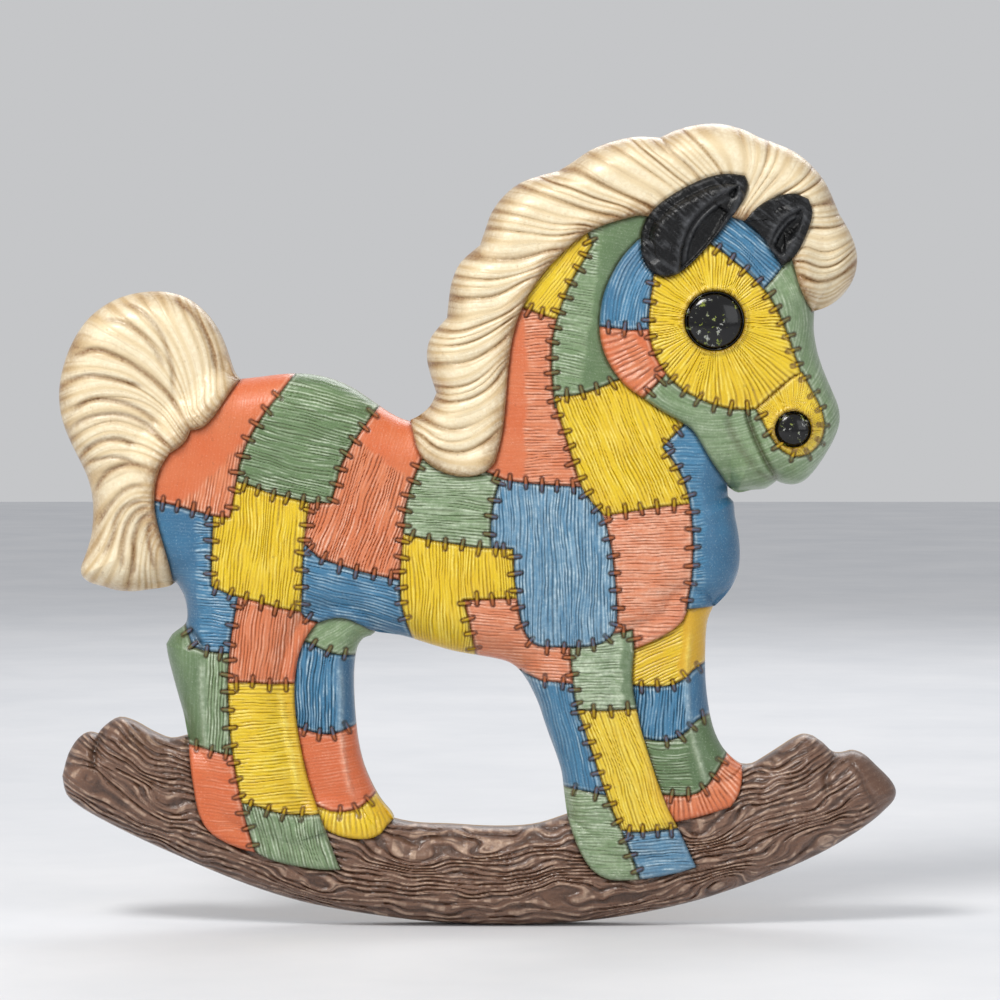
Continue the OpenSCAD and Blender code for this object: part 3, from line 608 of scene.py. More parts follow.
def strand_field(guides):
    """A smooth function that takes each guide's number on that guide (a thin-plate spline)."""
    at, value = [], []
    for number, guide in enumerate(guides):
        path = curve(guide, 5.0)
        at.append(path)
        value.append(np.full(len(path), float(number)))
    at = np.vstack(at)
    value = np.concatenate(value)
    middle, scale = at.mean(axis=0), 50.0
    p = (at - middle) / scale

    def kernel(a, b):
        r2 = ((a[:, None, :] - b[None, :, :]) ** 2).sum(axis=2) + 1e-9
        return 0.5 * r2 * np.log(r2)

    count = len(p)
    system = np.zeros((count + 3, count + 3))
    system[:count, :count] = kernel(p, p) + 0.002 * np.eye(count)
    system[:count, count] = system[count, :count] = 1
    system[:count, count + 1:] = p
    system[count + 1:, :count] = p.T
    weights = np.linalg.solve(system, np.concatenate([value, np.zeros(3)]))

    def field(points):
        q = (points - middle) / scale
        out = np.empty(len(q))
        for i in range(0, len(q), 4000):
            part = q[i:i + 4000]
            out[i:i + 4000] = kernel(part, p) @ weights[:count] + weights[count] + part @ weights[count + 1:]
        return out

    return field


HAIR_FIELD = {"mane": strand_field(MANE_GUIDES), "tail": strand_field(TAIL_GUIDES)}


def strand_level(at, weight):
    """Round strands side by side: depth below the crown, how deep in a groove, and the roundness."""
    share = at - np.floor(at)
    crown = np.sqrt(unit(1 - (2 * share - 1) ** 2))
    aside = off_whole(at) * 2
    return (crown - 1.0) * weight, smooth((0.42 - aside) / 0.42) * weight, crown


def hair(points, kind, seed):
    """Height, groove and ridge of combed hair: locks, strands in them, and fine lines on those."""
    x, z = points[:, 0], points[:, 1]
    number = HAIR_FIELD[kind](points)
    number = number + 0.06 * (blotches(points, 24, seed) - 0.5)
    lock = number * LOCKS[kind]
    lock = lock + 0.2 * np.sin(lock * 2.4) + 0.16 * (blotches(points, 34, seed + 1) - 0.5)
    which = np.floor(lock + 0.5)
    picked = noise(which * 3.7, which * 1.3 + (x + z) / 30, seed + 2)
    lock_weight = 0.12 + 0.88 * rise(picked, 0.22, 0.45)
    strand = lock * STRANDS + 0.22 * (blotches(points, 16, seed + 3) - 0.5)
    which = np.floor(strand + 0.5)
    strand_weight = rise(noise(which * 2.7, which * 1.9 + (x - z) / 24, seed + 4), 0.3, 0.5)
    hairs = strand * HAIRS + 0.6 * (blotches(points, 11, seed + 5) - 0.5)
    which = np.floor(hairs + 0.5)
    hair_weight = rise(noise(which * 2.1, which * 1.1 + (x + z) / 12, seed + 6), 0.3, 0.4)
    low_lock, groove_lock, top_lock = strand_level(lock, lock_weight)
    low_strand, groove_strand, top_strand = strand_level(strand, strand_weight)
    low_hair, groove_hair, _ = strand_level(hairs, hair_weight)
    depth = LOCK_DEPTH[kind]
    height = depth * (2.1 * low_lock + 0.85 * low_strand) + 0.26 * low_hair
    groove = unit(depth * (1.1 * groove_lock + 0.42 * groove_strand) + 0.25 * groove_hair)
    ridge = rise(top_strand, 0.6, 0.4) * rise(top_lock, 0.3, 0.6) * (1 - 0.5 * groove_hair)
    return height, groove, ridge


def wood(points, seed):
    """Height, groove and ridge of carved wood grain that follows the rocker's arc and its knots."""
    dx = points[:, 0]
    dz = points[:, 1] - ROCKER_RADIUS
    up = ROCKER_RADIUS - np.hypot(dx, dz)
    along = np.arctan2(dx, -dz) * ROCKER_RADIUS
    field = up + 6.5 * (noise(along / 34, up / 13, seed) - 0.5)
    field = field + 3.4 * (noise(along / 11, up / 6, seed + 1) - 0.5)
    for place, radii, strength in KNOTS:
        kx, kz = place[0], place[1] - ROCKER_RADIUS
        knot_up = ROCKER_RADIUS - math.hypot(kx, kz)
        knot_along = math.atan2(kx, -kz) * ROCKER_RADIUS
        u = (along - knot_along) / radii[0]
        v = (up - knot_up) / radii[1]
        field = field + strength * np.exp(-(u * u + v * v))
    line = field / WOOD_PITCH + 0.25 * noise(along / 6, up / 6, seed + 2)
    aside = off_whole(line)
    which = np.floor(line)
    of_groove = np.floor(line + 0.5)
    width = 0.2 + 0.3 * noise(of_groove * 2.3, along / 15, seed + 3)
    cut = rise(noise(along / 11 + of_groove * 3.9, of_groove * 1.9, seed + 7), 0.2, 0.35)
    groove = smooth((width - aside) / width) * (0.25 + 0.75 * cut)
    second = field / (WOOD_PITCH * FINE_WOOD) + 0.7 * noise(along / 5, up / 3, seed + 4)
    fine = smooth((0.3 - off_whole(second)) / 0.3)
    fine = fine * rise(noise(along / 7 + np.floor(second + 0.5) * 2.7, up / 4, seed + 5), 0.35, 0.2)
    rough = noise(along / 2.6, up / 1.1, seed + 8)
    height = -1.05 * groove - 0.45 * fine + 0.5 * (rough - 0.5)
    ridge = rise(aside, 0.22, 0.2) * (1 - 0.8 * fine)
    dash = rise(noise(along / 3.4 + which * 3.3, which * 2.1, seed + 6), 0.42, 0.25)
    return height, unit(groove + 0.55 * fine), ridge * unit(0.15 + dash)


# ---------------------------------------------------------------- ears

EAR_HOLLOWS = {
    "near_ear": [(87, 327), (88.2, 340), (92.8, 352), (101.5, 361.5), (111, 367.6), (118, 370.4),
                 (117.6, 363), (112.5, 352.5), (106, 341.5), (98.5, 331.8), (92.5, 326.6)],
    "far_ear": [(131.5, 340), (135.5, 349), (142.5, 356.4), (149.6, 359), (150, 352), (146, 343.5),
                (139.5, 334.5)],
}
EAR_FOLDS = {
    "near_ear": [(91, 330.5), (92.8, 341), (97, 350.2), (104.2, 358), (112.5, 363.8)],
    "far_ear": [(134.5, 340), (138.2, 347), (143, 352.6), (147.5, 355)],
}
EAR_AXES = {"near_ear": 48.0, "far_ear": 52.0}


def ear(points, name, seed):
    """Height, groove and ridge of an ear: a hollow with a fold down it, and short strokes of fur."""
    ring = curve(EAR_HOLLOWS[name] + EAR_HOLLOWS[name][:1], 0.4)
    distance, _ = Near(ring).find(points)
    inside = is_inside(ring, points)
    hollow = np.where(inside, smooth(distance / 4.5), 0.0)
    rim = bell(distance, 1.5)
    fold = near_line(points, EAR_FOLDS[name], 1.0)
    a = math.radians(EAR_AXES[name] + 90)
    across = points[:, 1] * math.cos(a) - points[:, 0] * math.sin(a)
    along = points[:, 0] * math.cos(a) + points[:, 1] * math.sin(a)
    across = across + 1.2 * (noise(along / 6, across / 6, seed) - 0.5)
    stroke = noise(across / 1.05, along / 7, seed + 1)
    fur = np.where(inside, 0.2, 1.0)
    groove = rise(stroke, 0.5, 0.35) * fur
    ridge = smooth((0.4 - stroke) / 0.3) * fur
    height = -3.4 * hollow + 0.5 * rim + 1.5 * fold - 0.6 * groove
    # Glaze: dark fur strokes, with the hollow darkened as painted shade; ridge: strokes, fold and the
    # hollow's rim painted lighter as painted highlights
    return height, unit(groove + 0.7 * hollow), unit(0.3 * ridge + 0.75 * fold + 0.35 * rim)


# ---------------------------------------------------------------- stitches

STITCH_PITCH = 8.2
STITCH_LENGTH = 7.4
STITCH_WIDTH = 1.85
STITCH_RISE = 1.25  # half height of a stitch
STITCH_SINK = 0.45  # how far its middle lies in the surface
STITCH_TURN = 9  # most degrees that one leans
STITCH_DRIFT = 0.7  # most that one lies off the seam's middle
STITCHED = ("near", "far_hind", "far_fore", "head")
CLEAR_OF_EDGE = 1.6  # least distance of its ends from the group's outline
CLEAR_OF_LAP = 1.4  # and from a higher group
stitch_rng = np.random.default_rng(11)
stitches = []  # (group, middle, direction along the stitch, half length)
for group, first, second, run in seam_runs:
    if {first, second} in NO_STITCHES or group not in STITCHED:
        continue
    path = resample(run, 0.5)
    length = 0.5 * (len(path) - 1)
    count = int(round(length / STITCH_PITCH))
    for k in range(count):
        i = int(round((k + 0.5) / count * (len(path) - 1)))
        a = path[max(0, i - 4)]
        b = path[min(len(path) - 1, i + 4)]
        tangent = (b - a) / np.linalg.norm(b - a)
        turn = math.radians(90 + stitch_rng.uniform(-STITCH_TURN, STITCH_TURN))
        way = np.array([tangent[0] * math.cos(turn) - tangent[1] * math.sin(turn),
                        tangent[0] * math.sin(turn) + tangent[1] * math.cos(turn)])
        half = 0.5 * STITCH_LENGTH * stitch_rng.uniform(0.85, 1.12)
        middle = path[i] + way * stitch_rng.uniform(-STITCH_DRIFT, STITCH_DRIFT)
        ends = np.array([middle - way * half, middle + way * half])
        at_edge = min(EDGE[group].find(ends)[0]) <= CLEAR_OF_EDGE
        at_lap = min(OVER[group].find(ends)[0]) <= CLEAR_OF_LAP
        if not at_edge and not at_lap:
            stitches.append((group, middle, way, half))


def stitch_shadow(group, points):
    """The pressed outline round each stitch, 0 to 1."""
    mine = [s for s in stitches if s[0] == group]
    if not mine:
        return np.zeros(len(points))
    dots = []
    for _, middle, way, half in mine:
        for t in np.linspace(-1, 1, 9):
            dots.append(middle + way * (half - STITCH_WIDTH / 2) * t)
    distance, _ = Near(np.array(dots)).find(points)
    return smooth((STITCH_WIDTH / 2 + 0.85 - distance) / 0.7)


# ---------------------------------------------------------------- meshes

CORNER_TURN = 22  # degrees that make a corner of an outline, which keeps its own point
ROW_GAP = 0.92  # gap between rows of inner points, in steps
SIDE_GAP = 0.4  # gap between a row's ends and the outline, in steps
BORDER_GAP = 0.55  # least gap between an inner point and the border, in steps


def surface_points(ring):
    """The outline and the points inside it that a relief mesh is drawn through."""
    corners = []
    count = len(ring)
    for i in range(count):
        a = ring[i] - ring[i - 1]
        b = ring[(i + 1) % count] - ring[i]
        turn = math.degrees(math.acos(np.clip(a @ b / np.linalg.norm(a) / np.linalg.norm(b), -1, 1)))
        if turn > CORNER_TURN:
            corners.append(i)
    corners = corners or [0]
    border = []
    for k, start in enumerate(corners):
        stop = corners[(k + 1) % len(corners)]
        span = (stop - start) % count or count
        part = ring[[(start + j) % count for j in range(span + 1)]]
        border.append(resample(part, STEP)[:-1])
    border = np.vstack(border)
    inner = []
    rows = np.arange(ring[:, 1].min() + STEP / 2, ring[:, 1].max(), STEP * ROW_GAP)
    for n, level in enumerate(rows):
        xs = crossings(ring, level)
        for left, right in zip(xs[::2], xs[1::2]):
            first = math.ceil((left + SIDE_GAP * STEP) / STEP - 0.5 * (n % 2))
            x = np.arange(first, (right - SIDE_GAP * STEP) / STEP - 0.5 * (n % 2)) + 0.5 * (n % 2)
            inner.append(np.column_stack([x * STEP, np.full(len(x), level)]))
    inner = np.vstack(inner)
    distance, _ = Near(border).find(inner)
    return border, inner[distance > BORDER_GAP * STEP]


def is_inside(ring, points):
    """Which points are inside an outline."""
    inside = np.zeros(len(points), bool)
    for a, b in zip(ring, np.roll(ring, -1, axis=0)):
        if a[1] != b[1]:
            crosses = (a[1] > points[:, 1]) != (b[1] > points[:, 1])
            inside ^= crosses & (points[:, 0] < a[0] + (b[0] - a[0]) * (points[:, 1] - a[1]) / (b[1] - a[1]))
    return inside


def triangulate(border, inner, hole=None):
    """Triangles over an outline and the points inside it, round a hole."""
    rings = [border] if hole is None else [border, hole]
    points, edges = [], []
    for ring in rings:
        first = len(points)
        points += [Vector(p) for p in ring]
        edges += [(first + i, first + (i + 1) % len(ring)) for i in range(len(ring))]
    points += [Vector(p) for p in inner]
    verts, _, faces, origin, _, _ = delaunay_2d_cdt(points, edges, [], 1, 1e-5)
    place = np.array([o[0] if o else -1 for o in origin])
    flat = np.array([tuple(v) for v in verts])
    faces = np.array(faces)
    if hole is not None:
        faces = faces[~is_inside(hole, flat[faces].mean(axis=1))]
    return flat, faces, place


def new_object(name, data):
    obj = bpy.data.objects.new(name, data)
    bpy.context.scene.collection.objects.link(obj)
    return obj


def smooth_mesh(name, verts, polygons, sharp=None):
    """A mesh with smooth shading, but for edges that turn by more than a sharp angle in degrees."""
    mesh = bpy.data.meshes.new(name)
    mesh.from_pydata(verts, [], polygons)
    mesh.polygons.foreach_set("use_smooth", [True] * len(polygons))
    if sharp is not None:
        mesh.set_sharp_from_angle(angle=math.radians(sharp))
    return mesh


def add_attribute(mesh, key, values, kind="FLOAT", field="value"):
    attribute = mesh.attributes.new(key, kind, "POINT")
    attribute.data.foreach_set(field, np.asarray(values, np.float32).ravel())


def relief(name, shape):
    """A closed mesh whose front is shape(points) above the back plane, with its paint attributes."""
    border, inner = surface_points(RINGS[name])
    flat, faces, place = triangulate(border, inner)
    height, paint = shape(flat)
    above = np.maximum(height - (TOP - EASE), 0.0)
    height = height - above + EASE * (1.0 - np.exp(-above / EASE))
    back_height = -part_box(name)[1].y * 1000.0
    count = len(flat)
    where = {p: i for i, p in enumerate(place) if p < len(border)}
    rim = [where[i] for i in range(len(border)) if i in where]
    rim_flat = flat[rim]
    pockets = BACKS[name][1]
    pocket, floor_height = pockets[0] if pockets else (None, 0.0)
    none = np.zeros((0, 2))
    back, back_faces, back_place = triangulate(rim_flat, none, pocket)
    back_of = {p: i for i, p in enumerate(back_place)}
    co = np.vstack([to_row(flat, height), to_row(back, np.full(len(back), back_height))])
    polygons = [tuple(f) for f in faces]
    polygons += [tuple(count + i for i in reversed(f)) for f in back_faces]
    if pockets:
        under, under_faces, under_place = triangulate(pocket, none)
        under_of = {p: i for i, p in enumerate(under_place)}
        start = len(co)
        co = np.vstack([co, to_row(under, np.full(len(under), floor_height))])
        polygons += [tuple(start + i for i in reversed(f)) for f in under_faces]
        for k in range(len(pocket)):
            n = (k + 1) % len(pocket)
            mouth_k, mouth_n = count + back_of[len(rim) + k], count + back_of[len(rim) + n]
            polygons.append((mouth_n, mouth_k, start + under_of[k], start + under_of[n]))
    for k in range(len(rim)):
        n = (k + 1) % len(rim)
        polygons.append((rim[n], rim[k], count + back_of[k], count + back_of[n]))
    mesh = smooth_mesh(name, co.tolist(), polygons, sharp=55)
    for key, values in paint.items():
        add_attribute(mesh, key, np.concatenate([values, np.zeros(len(co) - count)]))
    mesh.validate()
    return new_object(name + "_relief", mesh)


SEAM_WIDTH = 0.75
SEAM_DEPTH = 0.75
SAG_WIDTH = 2.2  # the patches sink a little towards a seam
SAG_DEPTH = 0.5
LAP_WIDTH = 1.0
LAP_DEPTH = 0.6
STITCH_PRESS = 0.35  # depth of the outline pressed round a stitch
RIM_PLACE = 1.5  # distance from a seam of its raised rim
RIM_WIDTH = 0.6
RIM_RISE = 0.2


def common(group, points):
    """The base relief with seams, laps, creases and stitches, and the glaze that lies in them."""
    height, edge = base_height(group, points)
    seam, _ = SEAM[group].find(points)
    over, _ = OVER[group].find(points)
    under, _ = UNDER[group].find(points)
    shadow = stitch_shadow(group, points)
    ragged = 0.55 + 0.9 * blotches(points, 2.6, 40)
    height = height - SEAM_DEPTH * bell(seam, SEAM_WIDTH) - SAG_DEPTH * np.exp(-seam / SAG_WIDTH)
    height = height - LAP_DEPTH * bell(over, LAP_WIDTH) - STITCH_PRESS * shadow
    glaze = 0.95 * bell(seam, SEAM_WIDTH * ragged) + 0.22 * np.exp(-seam / 1.8)
    glaze = glaze + 0.9 * np.exp(-((over / (LAP_WIDTH * ragged)) ** 1.5)) + 0.55 * bell(under, 0.8)
    glaze = glaze + shadow
    for line, half_width, depth, stain in CREASES.get(group, []):
        pressed = near_line(points, line, half_width)
        height = height - depth * pressed
        glaze = glaze + stain * 0.8 * pressed
    # crest: the raised rims beside seams and the raised ridge lines, which the patches paint lighter as a
    # painted highlight
    crest = 0.8 * bell(seam - RIM_PLACE, RIM_WIDTH) * ragged
    height = height + RIM_RISE * crest
    for line, half_width, lift in RIDGES.get(group, []):
        raised = near_line(points, line, half_width)
        height = height + lift * raised
        crest = np.maximum(crest, raised)
    return height, edge, glaze, crest


# patch: the button in it, the button's middle, and the rise of the ring round its socket
SOCKETS = {
    "face_yellow": ("eye", EYE, 0.9),
    "jaw_green": ("eye", EYE, 0.9),
    "muzzle_yellow": ("nostril", NOSTRIL, 0.7),
}
SOCKET_GAP = 0.4  # round a button
SOCKET_FLOOR = 0.3  # how far the socket's floor reaches above the button's seat


def with_socket(name, points, height, glaze):
    """Sinks a button's socket, with the raised ring and the stain round it."""
    button, centre, ring_rise = SOCKETS[name]
    low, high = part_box(button)
    radius = 500 * (high.x - low.x)
    floor = -high.y * 1000.0 + SOCKET_FLOOR
    r = np.hypot(points[:, 0] - centre[0], points[:, 1] - centre[1])
    hole = smooth((radius + SOCKET_GAP - r) / 0.5)
    ring = bell(r - radius - 1.6, 1.0)
    stain = bell(r - radius - SOCKET_GAP, 0.8)
    return height * (1 - hole) + floor * hole + ring_rise * ring, glaze + 0.9 * stain + 0.3 * ring


def patch_shape(name, seed):
    group, _, grain, strength, plain_line = PATCHES[name]

    def shape(points):
        height, edge, glaze, crest = common(group, points)
        groove, ridge = cloth(points, grain, seed)
        plain = np.zeros(len(points))
        if plain_line:
            a, b = np.array(plain_line[0], float), np.array(plain_line[1], float)
            way = (b - a) / np.linalg.norm(b - a)
            side = (points[:, 1] - a[1]) * way[0] - (points[:, 0] - a[0]) * way[1]
            plain = smooth((side + 1.5 + 3 * blotches(points, 4, seed + 9)) / 3)
        show = strength * (1 - 0.9 * plain) * (0.45 + 0.55 * smooth(edge / 5))
        depth = 0.62 * np.minimum(show, 1.3)
        height = height - depth * groove + 0.16 * show * ridge
        glaze = glaze + 0.72 * groove * show
        # Dry-brushed cloth ridges, plus the crest as a painted highlight
        lift = 1.3 * ridge * np.minimum(show, 1.25) + 0.6 * crest
        # Above nought this is wear that shows the lighter paint; below nought it is painted shade.
        wear_and_painted_light = WEAR_AND_PAINTED_SHADE.get(name, 0.0)
        across, along = grain_frame(points, grain)
        streaks = 0.3 + 1.4 * noise(across / 1.6, along / 9, seed + 7)
        lift = lift + max(wear_and_painted_light, 0.0) * streaks * (1 - 0.75 * plain)
        if name in SOCKETS:
            height, glaze = with_socket(name, points, height, glaze)
        blotch = blotches(points, 13, seed + 5)
        # Painted shade: darker towards the outline where the edges round away, on the plain side faces and on
        # patches with negative values; the blotches are random.
        painted_shade_and_tone = 0.6 * plain + 0.5 * (1 - smooth(edge / 9)) + 0.35 * (blotch - 0.5) - min(wear_and_painted_light, 0.0)
        return height, {"glaze": unit(glaze), "lift": unit(lift), "painted_shade_and_tone": unit(painted_shade_and_tone)}

    return shape


def hair_shape(name, seed):
    kind = HAIR[name]

    def shape(points):
        height, edge, glaze, _ = common(kind, points)
        under, _ = UNDER[kind].find(points)
        h, groove, ridge = hair(points, kind, seed)
        near_edge = smooth(edge / 6)
        height = height + h * (0.5 + 0.5 * near_edge)
        dirt = blotches(points, 9, seed + 5)
        rim = bell(edge, 6.5) * (0.45 + 0.55 * rise(dirt, 0.3, 0.4))
        held = 0.30 + 0.45 * dirt + 0.45 * np.exp(-edge / 9.0)
        glaze = 0.35 * glaze + 0.85 * groove * held + 0.62 * rim + 0.45 * np.exp(-under / 2.5)
        # Painted shade: the cream darkens towards the outline where the hair rounds away
        painted_shade_and_tone = unit(1.0 - smooth(edge / 12))
        return height, {"glaze": unit(glaze), "lift": unit(ridge), "painted_shade_and_tone": painted_shade_and_tone}

    return shape


def rocker_shape(points):
    height, edge, glaze, _ = common("rocker", points)
    h, groove, ridge = wood(points, WOOD_SEED)
    smooth_end = smooth((points[:, 0] + 0.55 * (points[:, 1] - 70) - 177) / 8)
    show = 1 - 0.85 * smooth_end
    height = height + h * show * smooth(edge / 2.5)
    glaze = unit(0.8 * glaze + 0.85 * groove * show)
    # Darker at the smooth right end, and painted shade towards the outline where the edge rounds away
    painted_shade_and_tone = 0.5 * smooth_end + 0.4 * (1 - smooth(edge / 8))
    return height, {"glaze": glaze, "lift": unit(ridge * show), "painted_shade_and_tone": unit(painted_shade_and_tone)}


def ear_shape(name, seed):
    def shape(points):
        height, edge, glaze, _ = common(name, points)
        h, groove, ridge = ear(points, name, seed)
        height = height + h * smooth(edge / 2.0)
        # The ear's lift is painted highlight, and the ear darkens towards its outline as painted shade
        return height, {"glaze": unit(groove + 0.3 * glaze), "lift": ridge,
                        "painted_shade_and_tone": unit(1 - smooth(edge / 4))}

    return shape


# ---------------------------------------------------------------- materials


def srgb(r, g, b):
    """A colour from its everyday 0 to 255 numbers."""
    def one(c):
        c = c / 255.0
        return c / 12.92 if c <= 0.04045 else ((c + 0.055) / 1.055) ** 2.4
    return (one(r), one(g), one(b), 1.0)


# paint, paint darkened for painted shade and random blotches, lighter paint for dry-brushing, wear and
# painted highlights, glaze
PAINTS = {
    "rust": ((217, 126, 80), (212, 104, 54), (250, 200, 172), (98, 46, 24)),
    "green": ((112, 140, 93), (84, 110, 70), (212, 224, 198), (66, 58, 30)),
    "blue": ((62, 126, 164), (44, 98, 134), (198, 220, 228), (38, 46, 46)),
    "yellow": ((233, 199, 12), (216, 166, 16), (252, 234, 116), (112, 76, 20)),
    "cream": ((230, 209, 168), (216, 188, 140), (248, 236, 206), (128, 86, 42)),
    "wood": ((114, 80, 60), (90, 60, 43), (200, 170, 146), (46, 29, 20)),
    # The ear's light grey is painted highlight on its glossy black
    "ear": ((13, 13, 14), (10, 10, 11), (112, 114, 118), (5, 5, 6)),
}
PAINTS = {key: [srgb(*colour) for colour in colours] for key, colours in PAINTS.items()}


class Nodes:
    """A material's node tree, with short names for what is used here."""

    def __init__(self, name):
        self.material = bpy.data.materials.new(name)
        self.material.use_nodes = True
        self.tree = self.material.node_tree
        self.shader = self.tree.nodes["Principled BSDF"]
        self.coords = self.tree.nodes.new("ShaderNodeTexCoord").outputs["Object"]

    def feed(self, socket, value):
        """Sets an input to a number or a colour, or links an output to it."""
        if isinstance(value, (int, float, tuple)):
            socket.default_value = value
        else:
            self.tree.links.new(value, socket)

    def node(self, kind, inputs, **settings):
        """The outputs of a new node with these settings and inputs."""
        node = self.tree.nodes.new("ShaderNode" + kind)
        for key, value in settings.items():
            setattr(node, key, value)
        for key, value in inputs.items():
            self.feed(node.inputs[key], value)
        return node.outputs

    def attribute(self, name, output="Fac"):
        return self.node("Attribute", {}, attribute_name=name)[output]

    def noise(self, scale, detail=4.0, rough=0.6):
        inputs = {"Vector": self.coords, "Scale": scale, "Detail": detail, "Roughness": rough}
        return self.node("TexNoise", inputs)["Fac"]

    def patchy(self, scale, low, high, start=0.0, stop=1.0, detail=4.0, rough=0.6):
        """Noise, with its values from low to high spread from start to stop."""
        inputs = {"Value": self.noise(scale, detail, rough), "From Min": low, "From Max": high,
                  "To Min": start, "To Max": stop}
        return self.node("MapRange", inputs)["Result"]

    def times(self, a, b):
        return self.node("Math", {0: a, 1: b}, operation="MULTIPLY", use_clamp=True)["Value"]

    def plus(self, a, b):
        return self.node("Math", {0: a, 1: b}, operation="ADD", use_clamp=True)["Value"]

    def mix(self, share, a, b):
        return self.node("Mix", {0: share, 6: a, 7: b}, data_type="RGBA")[2]

    def bump(self, height, distance, strength):
        return self.node("Bump", {"Distance": distance, "Strength": strength, "Height": height})["Normal"]

    def surface(self, **inputs):
        """The material, with these inputs of its shader."""
        for key, value in inputs.items():
            self.feed(self.shader.inputs[key.replace("_", " ")], value)
        return self.material


def painted(name, colours, rough=0.34, coat=0.3, shine=0.5):
    """Hand paint over a casting, with an antiquing glaze left in the hollows."""
    paint, shade, light, stain = colours
    n = Nodes(name)
    mottle = n.patchy(95.0, 0.35, 0.7)
    streak = n.patchy(420.0, 0.4, 0.7, detail=3.0)
    # Towards the shaded paint where the attribute holds painted shade and random blotches
    colour = n.mix(n.plus(n.attribute("painted_shade_and_tone"), n.times(mottle, 0.3)), paint, shade)
    lift = n.times(n.attribute("lift"), n.plus(n.times(streak, 0.55), 0.45))
    # Painted highlights: fine pale specks that stand for glints on the glossy paint
    wear_and_painted_light = n.patchy(1100.0, 0.57, 0.68, 0.0, 0.22, 3.0, 0.7)
    colour = n.mix(n.plus(n.times(lift, 0.9), wear_and_painted_light), colour, light)
    ragged = n.plus(n.times(n.patchy(650.0, 0.3, 0.7, detail=3.0), 0.5), 0.6)
    glaze = n.times(n.attribute("glaze"), ragged)
    speck = n.patchy(300.0, 0.62, 0.72, 0.0, 0.3, 5.0, 0.7)
    colour = n.mix(n.plus(n.times(glaze, 0.92), speck), colour, stain)
    return n.surface(Base_Color=colour, Roughness=n.patchy(160.0, 0.3, 0.7, rough - 0.06, rough + 0.12),
                     Normal=n.bump(n.noise(800.0, 5.0, 0.65), 0.00045, 0.7),
                     Coat_Weight=coat, Coat_Roughness=0.2, Specular_IOR_Level=shine)


def stitch_paint():
    """Moulded stitches: brown glaze over a little of the patch's own colour."""
    n = Nodes("stitch_paint")
    top = n.times(n.attribute("lift"), n.patchy(700.0, 0.35, 0.65, 0.65, 1.0))
    colour = n.mix(n.times(top, 0.62), srgb(98, 56, 30), n.attribute("patch_colour", "Color"))
    return n.surface(Base_Color=colour, Roughness=n.patchy(200.0, 0.3, 0.7, 0.5, 0.66),
                     Normal=n.bump(n.noise(1200.0, 3.0), 0.0002, 0.4), Specular_IOR_Level=0.25)


def gloss_black():
    """Polished button: black lacquer with pale and green flecks in it, partly specks of grit and partly
    painted reflections.
    """
    n = Nodes("gloss_black")
    # Flecks: partly grit, partly painted reflections
    fleck = n.patchy(380.0, 0.56, 0.6, 0.0, 0.8, 4.0, 0.7)
    fleck = n.times(fleck, n.patchy(115.0, 0.5, 0.56, detail=2.0))
    dust_and_painted_reflection = n.mix(n.patchy(210.0, 0.46, 0.54), srgb(176, 178, 172), srgb(138, 150, 58))
    return n.surface(Base_Color=n.mix(fleck, srgb(11, 10, 11), dust_and_painted_reflection),
                     Roughness=n.patchy(260.0, 0.3, 0.75, 0.08, 0.24, 5.0),
                     Normal=n.bump(n.noise(120.0, 4.0), 0.0006, 0.35),
                     Coat_Weight=0.3, Coat_Roughness=0.05, Specular_IOR_Level=0.3)


def bare_casting():
    """The unpainted back: tan moulding with fine pits, flow marks and some overspray."""
    n = Nodes("bare_casting")
    flow = n.patchy(14.0, 0.3, 0.7, 0.0, 1.0, 6.0, 0.65)
    colour = n.mix(flow, srgb(176, 150, 112), srgb(146, 118, 84))
    colour = n.mix(n.times(n.patchy(520.0, 0.66, 0.74), 0.6), colour, srgb(92, 70, 48))
    spray = n.patchy(36.0, 0.6, 0.75, 0.0, 0.4, 6.0, 0.7)
    return n.surface(Base_Color=n.mix(spray, colour, srgb(120, 92, 70)),
                     Roughness=n.patchy(90.0, 0.3, 0.7, 0.72, 0.9),
                     Normal=n.bump(n.noise(450.0, 5.0, 0.7), 0.0005, 0.6))


def plated_steel(name, scratch):
    """Zinc-plated sheet: a cool grey with brushed marks and a little tarnish."""
    n = Nodes(name)
    tarnish = n.patchy(240.0, 0.45, 0.72, detail=5.0)
    return n.surface(Base_Color=n.mix(tarnish, srgb(196, 198, 200), srgb(150, 146, 134)),
                     Roughness=n.patchy(scratch, 0.3, 0.7, 0.24, 0.42, 3.0),
                     Normal=n.bump(n.noise(scratch * 2, 2.0), 0.0001, 0.4), Metallic=1.0)


# ---------------------------------------------------------------- pieces

MATERIALS = {key: painted("paint_" + key, colours) for key, colours in PAINTS.items() if key != "ear"}
MATERIALS["ear"] = painted("paint_ear", PAINTS["ear"], rough=0.24, coat=0.1, shine=0.25)


def finish_piece(obj, material, node=None):
    obj.data.materials.append(material)
    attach(obj, "root")
    if node:
        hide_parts(node)


def finish_relief(name, shape, paint):
    finish_piece(relief(name, shape), MATERIALS[paint], name)


for number, name in enumerate(PATCHES):
    finish_relief(name, patch_shape(name, 10 * number), PATCHES[name][1])
for name in HAIR:
    finish_relief(name, hair_shape(name, HAIR_SEEDS[name]), "cream")
for name in EARS:
    finish_relief(name, ear_shape(name, EAR_SEED), "ear")
finish_relief("rocker", rocker_shape, "wood")


STITCH_RINGS = 9
STITCH_SIDES = 10
STRAY = srgb(120, 90, 60)  # of a stitch's end that isn't over a patch


